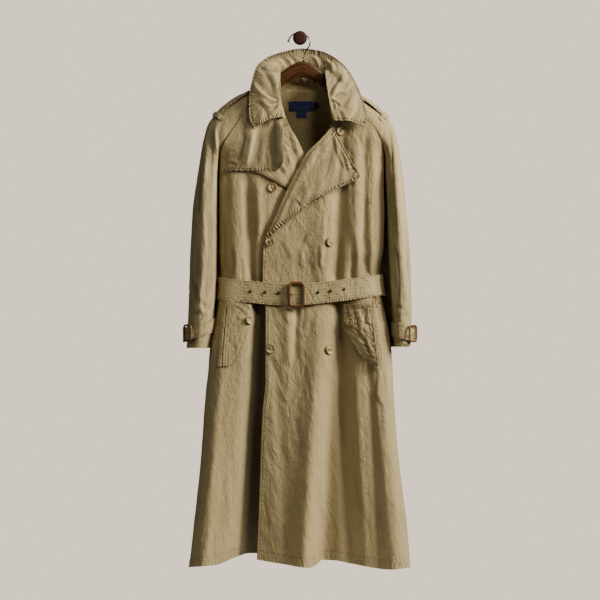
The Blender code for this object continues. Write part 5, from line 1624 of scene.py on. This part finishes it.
def belt_relief(points, rises, seed, smooth_to):
    """Quilting of the belt: stitched rows with small gathers between, smoother in its
    first stretch."""
    across, down = arcs(points)
    x, front = points[..., 0], onset(-points[..., 1], 80, 12)
    quilted = 1 - 0.72 * smoothstep((smooth_to - x) / 10 + 0.5) * front
    depth = np.zeros(across.shape)
    for k, row in enumerate(BELT_STITCH_ROWS):
        off = rises[:, None] - row
        depth += 0.55 * bell(off, 1.4)
        shift = 2.4 * k + 1.2 * value_noise(across / 21, 0 * across + k, seed + k)
        wave = np.sin(2 * math.pi * (across / 8.6 + shift))
        depth += 0.5 * wave * bell(off - 4.2, 3.4)
    depth *= quilted
    for edge in (BELT_WIDTH / 2, -BELT_WIDTH / 2):
        off = np.abs(rises[:, None] - edge)
        depth += (1.5 if edge < 0 else 0.6) * (0.45 + 0.55 * quilted) * puckers(
            off, across, 7.6, 7.5, seed + 31)
        depth -= 0.5 * bell(off, 1.6)
    depth += (0.2 + 0.2 * quilted) * crumple(across, down, seed + 41, 17, 13)
    depth += 0.8 * value_noise(across / 34, down / 34, seed + 43)
    facing = onset(-points[..., 1], 99, 16)
    return depth - facing * (10 * onset(x, 95, 100) + 4 * onset(-x, 135, 80))


def belt_seams(across, rises):
    """Coordinates of the nearest of the belt's stitched rows."""
    rows = np.array(BELT_STITCH_ROWS)
    away = np.abs(rises[:, None] - rows[None, :])
    away, low = away.min(1) + 13.0, rises + BELT_WIDTH / 2 + 2
    return across + 13.7 * np.where(low < away, 9, 0)[:, None], np.minimum(away, low)[:, None]


def belt_layer(name, base, rises, seed, smooth_to=-400.0, **more):
    """One layer of the belt with its rows of stitches."""
    points = pressed(name, base, belt_relief(base, rises, seed, smooth_to), 1.5, BELT_SHEET,
                     GATHERED, seam=belt_seams(arcs(base)[0], rises), **more)
    normal = normals_of(points)
    sewn = [np.argmin(np.abs(rises - row)) for row in BELT_STITCH_ROWS]
    stitches(name + "_stitches", [(points[k], normal[k]) for k in sewn])


def build_belt():
    rises = np.linspace(BELT_WIDTH / 2, -BELT_WIDTH / 2, 32)
    angles = np.linspace(-math.pi, math.pi, 560)
    run = run_of(waist_ring(BELT_BACK, angles))
    even = np.interp(np.linspace(0, run[-1], 381)[:-1], run, angles)  # even steps round the ring
    belt_layer("belt", belt_rows(even, BELT_LIFT, rises), rises, 1011, -158, closed=True)
    start, stop = np.radians(BELT_END)
    inside = np.concatenate([[start], even[(even > start) & (even < stop)], [stop]])
    rises = rises * (1 - 1 / (BELT_WIDTH / 2))
    belt_layer("belt_end", belt_rows(inside, BELT_LIFT + BELT_WALL + 1.6, rises, closed=False),
               rises, 1111)


def belt_front_line():
    middle = belt_rows(np.radians(np.arange(-85, 86, 1.0)), BELT_LIFT, (0,), closed=False)[0]
    return middle[:, 0], middle[:, 1]


def belt_front(x, lift):
    """A point on the front of the belt, moved out by a lift."""
    y = np.interp(x, *belt_front_line())
    return np.array([x, y - lift, float(belt_middle(x, y))])


EYELETS = ((-134.4, -684.4), (-94.7, -686.6), (-57.9, -688.8), (48.6, -686.9),
           (82.4, -683.1), (118.5, -678.5))


def build_eyelets():
    """Round sewn eyelets along the belt: a thread rim round a dark disc that paints the shade in
    the hole.
    """
    for number, (x, z) in enumerate(EYELETS):
        lift = 1.3 if x < 0 else BELT_WALL + 2.9
        place = belt_front(x, lift)
        place[2] = z
        profile = [(0, -0.9), (1.7, -0.8), (2.4, -0.2), (2.9, 0.75), (3.5, 1.05), (4.1, 0.7),
                   (4.4, -0.2)]

        def knots(px, py, pz):
            angle = np.arctan2(py, px)
            radius = np.hypot(px, py)
            rim = onset(radius, 2.4, 0.6)
            return 0.16 * rim * np.sin(18 * angle), 0 * px

        lathe("belt_eyelet_%d" % (number + 1), profile, place, (0, -1, 0), EYELET,
              [], 40, knots)
        # a near-black disc in the eyelet: painted shade for the hole
        lathe("belt_eyelet_hole_%d" % (number + 1),
              [(0, 0.9), (1.6, 0.85), (2.6, 0.5), (2.9, -0.5)],
              place, (0, -1, 0), HOLE_SHADE, [], 24)


def frame_path(centre, facing, width, height, corner, count=96):
    """Points of a rectangle with round corners, evenly spaced, facing a direction."""
    side = unit(np.cross((0.0, 0.0, 1.0), facing))
    up = unit(np.cross(np.array(facing, float), side))
    flat = []
    for quarter in range(4):
        across = (width / 2 - corner) * (1 if quarter in (0, 3) else -1)
        rise = (height / 2 - corner) * (1 if quarter < 2 else -1)
        for a in math.pi / 2 * (quarter + np.linspace(0, 1, 12)):
            flat.append((across + corner * math.cos(a), rise + corner * math.sin(a)))
    flat = np.array(flat + flat[:1])
    run = run_of(flat)
    at = np.linspace(0, run[-1], count + 1)[:-1]
    u, v = np.interp(at, run, flat[:, 0]), np.interp(at, run, flat[:, 1])
    return np.array(centre) + u[:, None] * side + v[:, None] * up


def leather_frame(node, centre, facing, width, height, corner, bar):
    """A leather-covered buckle frame: a softly squared bar."""
    facing = unit(np.array(facing, float))
    path = frame_path(centre, facing, width, height, corner)
    out = np.cross(unit(np.roll(path, -1, 0) - np.roll(path, 1, 0)), facing)
    angle = circle(24)
    c, s = squared(np.cos(angle), 0.75), squared(np.sin(angle), 0.75)
    swell = 1 + 0.05 * value_noise(np.arange(len(path)) / 5.0, np.zeros(len(path)), 77)[:, None]
    grid = (path[:, None] + out[:, None] * (bar * c * swell)[..., None]
            + facing * (0.86 * bar * s * swell)[..., None])
    rub = np.broadcast_to(np.abs(c) ** 3, grid.shape[:2]) * 0.8
    rub = rub + 0.4 * value_noise(np.arange(len(path))[:, None] / 9.0, angle[None, :], 79)
    grid = np.concatenate([grid, grid[:1]])
    mesh = grid_mesh(node + "_leather", grid, False, True, np.concatenate([rub, rub[:1]]))
    solid(mesh, LEATHER, [node])


def build_buckle():
    centre = belt_front(BUCKLE_X, BELT_WALL + BUCKLE_BAR + 1.85 + 0.8)
    leather_frame("belt_buckle", centre, (0, -1, 0), 38.6, 63, 10, BUCKLE_BAR)
    tip = centre + np.array([-18.5, -BUCKLE_BAR - 1.2, 2])
    root = centre + np.array([-6, BUCKLE_BAR - 2.1, 2])
    middle = root * 0.5 + tip * 0.5 + np.array([0, -1.8, 0])
    line = through([root, middle, tip], np.linspace(0, 2, 14))
    tube("buckle_prong_brass", line, 1.45, BRASS, ["buckle_prong"], sides=12,
         ends=np.linspace(1.15, 0.7, 14))


def build_d_ring():
    place = belt_front(D_RING_X, D_RING_LIFT)
    centre = (place[0] + 7, place[1] - 8, place[2] - BELT_WIDTH / 2 - D_RING_TALL / 2)
    path = frame_path(centre, np.array((0.55, -0.83, 0)), 16, D_RING_TALL, 7, 64)
    tube("d_ring_brass", path, 1.35, BRASS, ["d_ring"], closed=True, sides=12)


def build_loops():
    """Belt loops: their crumpled upper ends stand above the belt at each side."""
    for side, x_mid, wide, seed in (("left", -168, 36, 1211), ("right", 184, 38, 1221)):
        share = np.linspace(0, 1, 34)
        x = x_mid + wide * (share - 0.5)
        ring_y = np.interp(x, *belt_front_line())
        top = belt_middle(x, ring_y) + BELT_WIDTH / 2
        rows = []
        for t in np.linspace(0, 1, 14):
            rise = -9 + 19.5 * t
            bulge = 5.2 * math.sin(math.pi * min(1.0, 0.25 + 0.75 * t))
            crown = 1 - 0.34 * np.abs(2 * share - 1) ** 3
            z = top + rise * crown + 1.4 * value_noise(share * 6, 0 * share + t, seed) * t
            y = ring_y + BELT_LIFT - 5.4 - bulge * t * (1.2 - t) + 1.1 * value_noise(
                share * 7, 0 * share + 2 * t, seed + 1) * t
            rows.append(np.stack([x, y, z], -1))
        base = np.array(rows)[::-1]
        run, down = arcs(base)
        depth = 1.1 * crumple(run, down, seed, 9, 8) + 0.6 * puckers(down, run, 6, 5, seed + 3)
        points = relief(base, depth * 0.8)
        cloth("belt_loop_" + side, points, THIN, crest=wear_and_shade_of(depth, 1.5), nodes=[])


# ---------------------------------------------------------------- cuff straps, shoulder straps
def strap_rows(side, lift, rises, count):
    heights = np.linspace(13, 15, 21)
    grid = sleeve_points(side, heights, np.linspace(0, 1, count + 1)[:-1])
    grid = grid if side == "right" else grid[:, ::-1]
    plan = grid[10, :, 0]
    share = (plan - plan.min()) / (plan.max() - plan.min())
    inner, outer = STRAP_LINE[side]
    at_left, at_right = (outer, inner) if side == "left" else (inner, outer)
    rows = []
    for rise in rises:
        z = at_left + (at_right - at_left) * share + rise
        ring = [[np.interp(-z[j], -grid[:, j, 2], grid[:, j, k]) for k in (0, 1)]
                for j in range(count)]
        rows.append(outward(np.column_stack([ring, z]), lift))
    return np.stack(rows, 0)


CUFF_STAND = 9.0  # how far a cuff's buckle stands off the sleeve


def build_cuff(side):
    rises = np.linspace(STRAP_WIDTH / 2, -STRAP_WIDTH / 2, 19)
    count = 156
    base = strap_rows(side, STRAP_LIFT + 2.6, rises, count)
    facing = np.array(CUFF_BUCKLE_FACING[side], float)
    middle = base.mean((0, 1))
    aimed = ((base - middle) * [1, 1, 0]) @ facing
    aimed /= np.linalg.norm((base - middle)[..., :2], axis=-1)
    base = base + facing * (CUFF_STAND * onset(aimed, 0.72, 0.26))[..., None]
    base[..., 2] -= CUFF_DROP[side] * 0.3
    run, down = arcs(base)
    seed = 1311 if side == "left" else 1331
    depth = 0.6 * crumple(run, down, seed, 18, 14) + 0.25 * crumple(run, down, seed + 3, 7, 8)
    for from_edge in (down, down[-1:] - down):
        depth += sewn_edge(from_edge, run, seed + 11, row=4.0, reach=6, depth=1.0)
    pressed("cuff_strap_" + side, base, depth, 1.5, sewing=(("top", 4.0), ("bottom", 4.0)),
            closed=True, seam=(run, np.minimum(down, down[-1:] - down)))
    outer = strap_rows(side, STRAP_LIFT + TRIM + 1.3, np.linspace(21, -21, 22), 26 * 6)
    first = KEEPER_COLUMN[side] * 6
    keeper = outer[:, first:first + 8]
    bulge = 0.8 * np.sin(np.linspace(0, math.pi, keeper.shape[1]))[None, :]
    ends = np.linspace(-1, 1, 22)[:, None] ** 8
    keeper = relief(keeper, -bulge + 1.8 * ends + 0.2 * crumple(*arcs(keeper), seed + 21, 5, 9))
    cloth("cuff_keeper_" + side + "_cloth", keeper, THIN)
    middle = strap_middle(side)
    outermost = middle[np.argmax((middle - middle.mean(0)) @ facing)]
    centre = outermost + facing * (CUFF_BAR - CUFF_SEAT[side] + 0.9) + CUFF_STAND * np.array(
        [math.copysign(0.95, facing[0]), -0.1, -0.25])
    leather_frame("cuff_buckle_" + side, centre, facing, 30, 42, 7.5, CUFF_BAR)
    across = np.cross((0.0, 0.0, 1.0), facing)
    root, tip = centre - across * 13 - facing * 0.6, centre + across * 14.6 + facing * 2.6
    line = through([root, (root + tip) / 2 + facing * 2.2, tip], np.linspace(0, 2, 12))
    tube("cuff_prong_" + side, line, 1.05, BRASS, ends=np.linspace(1.1, 0.7, 12))


def strap_middle(side):
    rises = np.array([STRAP_WIDTH / 2 + 2, 0, -STRAP_WIDTH / 2 - 2])
    return strap_rows(side, STRAP_LIFT + TRIM + 0.6, rises, 26).mean(0)


def build_epaulette(side):
    flip = side == "left"
    along = np.linspace(1.15, 4.35, 74)
    share = np.linspace(-1, 1, 34)
    base = sleeve_points(side, along, 0.5 + EPAULETTE_HALF * share)
    bow = EPAULETTE_SEWN + 1.0 + 5.4 * np.sin(np.linspace(0, math.pi, 74)) ** 2
    base = relief(base, -bow[:, None], flip)
    run, down = arcs(base)
    seed = 1411 if side == "left" else 1431
    depth = 0.5 * crumple(run, down, seed, 16, 20) + 0.22 * crumple(run, down, seed + 3, 7, 8)
    for from_edge in (run, run[:, -1:] - run):
        depth += sewn_edge(from_edge, down, seed + 11, row=4.2, reach=7, depth=1.1)
    for from_edge in (down, down[-1:] - down):
        depth += sewn_edge(from_edge, run, seed + 17, row=4.2, reach=7, depth=0.5)
    pressed("epaulette_" + side, base, depth, 1.5, 1.5, flip=flip,
            sewing=[(edge, 4.2) for edge in ("left", "right", "bottom")],
            seam=nearest((down, np.minimum(run, run[:, -1:] - run)), (run, down[-1:] - down)))
    along = np.linspace(3.9, 4.25, 12)
    across = np.linspace(-1.5, 1.5, 60)
    base = sleeve_points(side, along, 0.5 + EPAULETTE_HALF * across)
    over = 1 - onset(np.abs(across), 1.08, 0.2)
    lift = EPAULETTE_SEWN + (TRIM + 3.2) * over
    base = relief(base, -lift, flip)
    run, down = arcs(base)
    depth = 0.3 * crumple(run, down, seed + 21, 9, 7) - 0.9 * np.sin(
        np.linspace(0, math.pi, 12))[:, None] ** 0.7
    cloth("epaulette_keeper_" + side + "_cloth", relief(base, depth, flip), THIN, flip=flip,
          crest=0.5 * wear_and_shade_of(depth, 1.5))


# ---------------------------------------------------------------- buttons
def button(name, place, normal, radius):
    """A four-hole horn button with a raised round rim, sewn on with crossed thread."""
    thick = BUTTON_THICK
    radii = np.concatenate([np.linspace(0, 5.6, 20), np.linspace(6.1, radius - 2.4, 6),
                            np.linspace(radius - 2.0, radius - 0.15, 9)])
    top = []
    for r in radii:
        rim = math.exp(-(((r - (radius - 2.0)) / 1.5) ** 2))
        edge = max(0.0, (r - (radius - 1.2)) / 1.2)
        top.append((r, thick - 1.5 + 1.5 * rim - 1.3 * edge**2))
    profile = top + [(radius, thick * 0.52), (radius - 0.1, thick * 0.4), (radius - 0.5, 0.35),
                     (radius - 1.3, 0.02), (radius * 0.5, 0.0), (0, 0)]
    hole_at, hole = 2.5 * radius / 13, 1.15 * radius / 13

    def dimples(px, py, pz):
        rise, shade = np.zeros(px.shape), np.zeros(px.shape)
        front = np.arange(len(profile)) < len(radii)
        for sx in (-1, 1):
            for sy in (-1, 1):
                away = np.hypot(px - sx * hole_at, py - sy * hole_at)
                inside = (1 - onset(away, hole * 0.75, hole * 0.6)) * front[:, None]
                rise = rise - 1.7 * inside
                shade = shade - inside
        # the crest: painted shade (-1) in the thread holes, and +1 for the darker amber rim
        rim = onset(np.hypot(px, py) - radius, -3.4, 1.8)
        return rise, np.clip(shade + rim, -1, 1)

    lathe(name + "_horn", profile, place, normal, HORN, [name], 60, dimples)
    turn = np.array(Vector(normal).to_track_quat("Z", "Y").to_matrix())
    for number, sign in enumerate((-1, 1)):
        line = []
        for t in np.linspace(-1, 1, 9):
            height = thick - 1.5 + 0.55 * (1 - t * t) - 0.9 * abs(t) ** 6
            line.append(turn @ np.array([t * hole_at, sign * t * hole_at, height]) + place)
        tube(name + "_thread_%d" % (number + 1), line, 0.5, THREAD, sides=8)


def button_on_front(spot, front, lift, radius):
    reach = radius * 0.8
    slope_z = (front(spot.x, spot.z + reach) - front(spot.x, spot.z - reach)) / (2 * reach)
    normal = unit(np.array([float(slope_x(front, spot.x, spot.z, reach)), -1, float(slope_z)]))
    place = np.array([spot.x, float(front(spot.x, spot.z)), spot.z])
    rise = 0
    for share in (0.5, 1):
        for angle in circle(16):
            x = spot.x + share * radius * math.cos(angle)
            z = spot.z + share * radius * math.sin(angle)
            rise = max(rise, (np.array([x, float(front(x, z)), z]) - place) @ normal)
    tilt = BUTTON_TILT[spot.name]
    button(spot.name, place + normal * (lift + rise),
           normal + np.array([tilt[0], 0, tilt[1]]), radius)


BUTTON_TILT = {"button_top_right": (0.12, 0.05), "button_lapel": (-0.10, 0.06),
               "button_chest_right": (0.05, -0.04), "button_low_left": (-0.06, 0.08),
               "button_low_right": (0.08, 0.02), "button_top_left": (-0.08, 0.05),
               "button_pocket_left": (0.06, 0.05), "button_pocket_right": (0.05, 0.08)}


def build_buttons():
    for spot in BUTTONS:
        lift = LAPEL_FOOT_LIFT + 1.0 if spot.name == "button_lapel" else BUTTON_LIFT + 0.8
        button_on_front(spot, right_front_y, lift, BUTTON_R)
    button_on_front(UNDER_BUTTON, left_front_y, BUTTON_LIFT + 0.8, BUTTON_R)
    for spot, front in zip(FLAP_BUTTONS, (left_front_y, pocket_ground)):
        lift = FLAP_LIFT + BUTTON_LIFT + (7.0 if spot.x > 0 else 3.4)
        button_on_front(spot, front, lift, FLAP_BUTTON_R)


# ---------------------------------------------------------------- labels, hooks, hanger
def build_labels():
    for name, left, right, top, low, seed in (("neck_label", -29, 42, -171, -197, 1511),
                                              ("size_tab", -9, 18, -198, -215, 1521)):
        x, z = np.meshgrid(np.linspace(left, right, 40), np.linspace(top, low, 20))
        y = back_y(x, z) - CLOTH - SEAM - LABEL_WALL - 1.0
        base = np.stack([x, y, z], -1)
        run, down = arcs(base)
        depth = 0.35 * crumple(run, down, seed, 18, 12)
        points = relief(base, depth)
        cloth(name + "_cloth", points, LABEL_WALL, NAVY, slot="navy_label")
        if name == "neck_label":
            line, normal = points[1:-1, 35], normals_of(points)[1:-1, 35]
            tube("label_thread_line", line + normal * 0.3, 0.55, PALE_THREAD,
                 sides=6)
    x, z = np.meshgrid(np.linspace(38, 50, 10), np.linspace(-176, -190, 14))
    y = back_y(x, z) - CLOTH - SEAM - LABEL_WALL + 0.3
    cloth("side_tab", np.stack([x, y, z], -1), LABEL_WALL, NAVY, nodes=[], slot="navy_label")


def build_hooks():
    """The hook and eye that close the collar."""
    for name, x, z, front in (("collar_eye", -38, -232, left_front_y),
                              ("collar_hook", 84, -236, right_front_y)):
        y = float(front(x, z)) - 6.5
        ring = [(x + 3.4 * math.cos(a), y, z + 4.6 * math.sin(a)) for a in circle(28)]
        tube(name, ring, 0.75, DARK_STEEL, closed=True, sides=8)


def hanger_top(x):
    ridge = [(row.left_x, row.left_z) for row in SHOULDERS[4::-1]]
    ridge += [(row.right_x, row.right_z) for row in SHOULDERS[:5]]
    inside = np.interp(x, *zip(*ridge)) - 1.25 * CLOTH - 1.1
    arch = -61.9 - 0.0070 * (x - 6) ** 2 - 0.16 * np.abs(x - 6)
    return np.where(np.abs(x) < 68, arch, inside)


def build_hanger():
    shares = np.linspace(-1, 1, 131)
    x = np.where(shares > 0, shares * HANGER_REACH_RIGHT, -shares * HANGER_REACH_LEFT)
    top = hanger_top(x)
    smooth = np.convolve(np.pad(top, 2, mode="edge"), [0.1, 0.2, 0.4, 0.2, 0.1], "valid")
    tall = 26 + 18 * bell(x, 90)
    angle = circle(36)
    rings = []
    for k in range(len(x)):
        end = min(1.0, (1 - abs(shares[k])) * 14)
        deep = 7.5 * (0.55 + 0.45 * math.sqrt(end))
        side, up = squared(np.cos(angle), 0.62), squared(np.sin(angle), 0.66)
        half = tall[k] / 2 * (0.8 + 0.2 * end)
        rings.append(np.stack([np.full(36, x[k]), HANG_Y + deep * side,
                               smooth[k] - tall[k] / 2 + half * up], -1))
    rings = np.array(rings)
    for first, k in ((True, 0), (False, -1)):
        middle = rings[k].mean(0)
        for shrink in (0.7, 0.02):
            cap = middle + (rings[k] - middle) * shrink
            cap[:, 0] += (-1 if first else 1) * (1.2 if shrink < 0.1 else 0.9)
            rings = np.concatenate([cap[None], rings] if first else [rings, cap[None]])
            k = 1 if first else -2
    mesh = grid_mesh("hanger_wood", rings, False, True)
    across, deep, height = np.array([v.co for v in mesh.vertices]).T / MM
    below = height - np.interp(across, x, smooth)
    grain = np.stack([np.abs(across - 3) * 1.06, below + 0.6 * deep], -1)
    loops = np.empty(len(mesh.loops), np.int32)
    mesh.loops.foreach_get("vertex_index", loops)
    mesh.uv_layers["cut"].data.foreach_set("uv", (grain[loops] * MM).astype(np.float32).ravel())
    solid(mesh, HANGER_WOOD, ["hanger"], ends_open=True)


def hook_route():
    centre_x, centre_z, radius = -2.0, -15.3, 30.0
    arc = [math.radians(a) for a in np.linspace(170, 12, 13)]
    route = [(centre_x + radius * math.cos(a), centre_z + radius * math.sin(a)) for a in arc]
    route += [(26.5, -17), (21.5, -27), (15.5, -36), (11.6, -45), (10.8, -54), (10.8, -62.2)]
    return [(x, HANG_Y + 1.5, z) for x, z in route]


def build_hook():
    route = hook_route()
    fine = through(route, np.linspace(0, len(route) - 1, 110))
    ends = np.ones(110)
    ends[:6] = [1.5, 1.75, 1.8, 1.7, 1.4, 1.1]
    tube("hanger_hook_steel", fine, 1.15 * HOOK_R, STEEL, ["hanger_hook"],
         sides=16, ends=ends)
    foot = np.array(route[-1])
    lathe("hook_ferrule", [(0, 3.6), (2.2, 3.4), (3.1, 2.6), (3.3, 1.2), (4.4, 0.4), (4.6, -0.6)],
          foot + [0, 0, 0.4], (0, 0, 1), STEEL, [], 36)


def build_knob():
    points = np.array([
        (0, KNOB_FRONT - 1.5), (9, KNOB_FRONT - 1.2), (15, KNOB_FRONT), (18.6, KNOB_FRONT + 4),
        (KNOB_HEAD_R, KNOB_FRONT + 9), (18.6, KNOB_FRONT + 14), (14.5, KNOB_HEAD_BACK),
        (KNOB_NECK_R, KNOB_HEAD_BACK + 3), (KNOB_NECK_R, -8), (KNOB_BASE_R, -5),
        (KNOB_BASE_R, KNOB_BACK), (0, KNOB_BACK)], float)
    shown = through(np.column_stack([points[:8], np.zeros(8)]), np.linspace(0, 7, 40))[:, :2]
    profile = [(r, -y) for r, y in shown] + [(r, -y) for r, y in points[8:]]
    lathe("wall_knob_wood", profile, (0, 0, 0), (0, -1, 0), KNOB_WOOD,
          ["wall_knob"], 72)


# ---------------------------------------------------------------- finishes
KHAKI = khaki_cloth("khaki_cotton")
GATHERED = khaki_cloth("khaki_gathered", 1.0)  # collar, lapels and belt
THREAD, PALE_THREAD = (
    speckled("thread", 0.7, 260, (0.33, 0.255, 0.12), (0.45, 0.36, 0.18), (3000, 1.0), 0.0002, 0.5)
    for _ in range(2))
NAVY = navy_tape()
LEATHER = tan_leather()
BRASS = dull_brass()
STEEL = polished_steel()
DARK_STEEL = dull_brass()
HORN = mottled_horn()
# The first of these finishes is painted shade: near-black, for the pieces that stand in for the
# shade in the buttonhole's cut and in the eyelets' holes. The second, for the eyelets' thread
# rims, has the same dark tones.
HOLE_SHADE, EYELET = (
    speckled("dark_gap", 0.9, 500, (0.012, 0.008, 0.004), (0.035, 0.024, 0.012), (1500, 1.0),
             0.0002, 0.3) for _ in range(2))
HANGER_WOOD = long_grain("hanger_wood", (0.016, 0.0055, 0.002), (0.105, 0.041, 0.012), 0.40,
                         (26, 330, 1), 0.25)
KNOB_WOOD = long_grain("knob_wood", (0.022, 0.0055, 0.0022), (0.046, 0.013, 0.006), 0.66,
                       (60, 200, 1), 0.0)


# ---------------------------------------------------------------- the coat
build_right_front()
build_left_front()
build_back()
for one in ("left", "right"):
    build_sleeve(one)
build_collar()
build_lapels()
build_storm_flap()
for one in ("left", "right"):
    build_pocket(one)
    build_cuff(one)
    build_epaulette(one)
build_belt()
build_loops()
build_eyelets()
build_buckle()
build_d_ring()
build_buttons()
build_labels()
build_hooks()
build_hanger()
build_hook()
build_knob()


# ---------------------------------------------------------------- floor, light and camera
def build_floor():
    work = bmesh.new()
    bmesh.ops.create_circle(work, cap_ends=True, segments=96, radius=0.62)
    mesh = bpy.data.meshes.new("floor")
    work.to_mesh(mesh)
    work.free()
    pale, paler = (0.60, 0.575, 0.53), (0.63, 0.605, 0.56)
    mesh.materials.append(speckled("pale_floor", 0.9, 2.5, pale, paler, (60, 2.0), 0.0005, 0.2))
    floor = bpy.data.objects.new("floor", mesh)
    floor.location = (0, -0.07, -1.72)
    bpy.context.scene.collection.objects.link(floor)


def area_light(name, place, aim, size, power, colour):
    data = bpy.data.lights.new(name, "AREA")
    data.shape = "DISK"
    data.size = size
    data.energy = power
    data.color = colour
    lamp = bpy.data.objects.new(name, data)
    lamp.location = place
    ahead = Vector(aim) - Vector(place)
    lamp.rotation_mode = "QUATERNION"
    lamp.rotation_quaternion = ahead.to_track_quat("-Z", "Y")
    bpy.context.scene.collection.objects.link(lamp)


def build_world():
    world = bpy.data.worlds.new("studio")
    bpy.context.scene.world = world
    world.use_nodes = True
    tree = world.node_tree
    for node in list(tree.nodes):
        tree.nodes.remove(node)
    out = tree.nodes.new("ShaderNodeOutputWorld")
    shown, light = tree.nodes.new("ShaderNodeBackground"), tree.nodes.new("ShaderNodeBackground")
    shown.inputs["Color"].default_value = (1.30, 1.14, 0.91, 1)
    light.inputs["Color"].default_value = (0.95, 0.93, 0.90, 1)
    light.inputs["Strength"].default_value = 0.04
    rays = tree.nodes.new("ShaderNodeLightPath")
    both = tree.nodes.new("ShaderNodeMixShader")
    tree.links.new(rays.outputs["Is Camera Ray"], both.inputs["Fac"])
    tree.links.new(light.outputs[0], both.inputs[1])
    tree.links.new(shown.outputs[0], both.inputs[2])
    tree.links.new(both.outputs[0], out.inputs["Surface"])


build_floor()
build_world()
KEY_AIM = (0.0, -0.07, -0.66)
area_light("key", (3.4, -1.6, 1.2), KEY_AIM, 1.9, 385, (1.0, 0.95, 0.86))
area_light("upper", (1.5, -2.8, 2.1), KEY_AIM, 1.0, 46, (1.0, 0.96, 0.88))
area_light("fill", (-3.0, -1.9, 0.1), KEY_AIM, 2.6, 17, (1.0, 0.96, 0.9))
area_light("back", (1.7, 2.9, 0.9), KEY_AIM, 2.2, 70, (1.0, 0.96, 0.9))

camera = bpy.data.objects.new("camera", bpy.data.cameras.new("camera"))
camera.data.sensor_width = 36
FIELD = 1.62  # width of the picture at the sizing plane, metres
camera.data.lens = camera.data.sensor_width * EYE_AWAY * MM / FIELD
camera.data.clip_end = 30
camera.location = (0, (EYE_PLANE - EYE_AWAY) * MM, EYE_HEIGHT * MM)
camera.rotation_euler = (math.pi / 2, 0, 0)
bpy.context.scene.collection.objects.link(camera)
bpy.context.scene.camera = camera

bpy.context.view_layer.update()
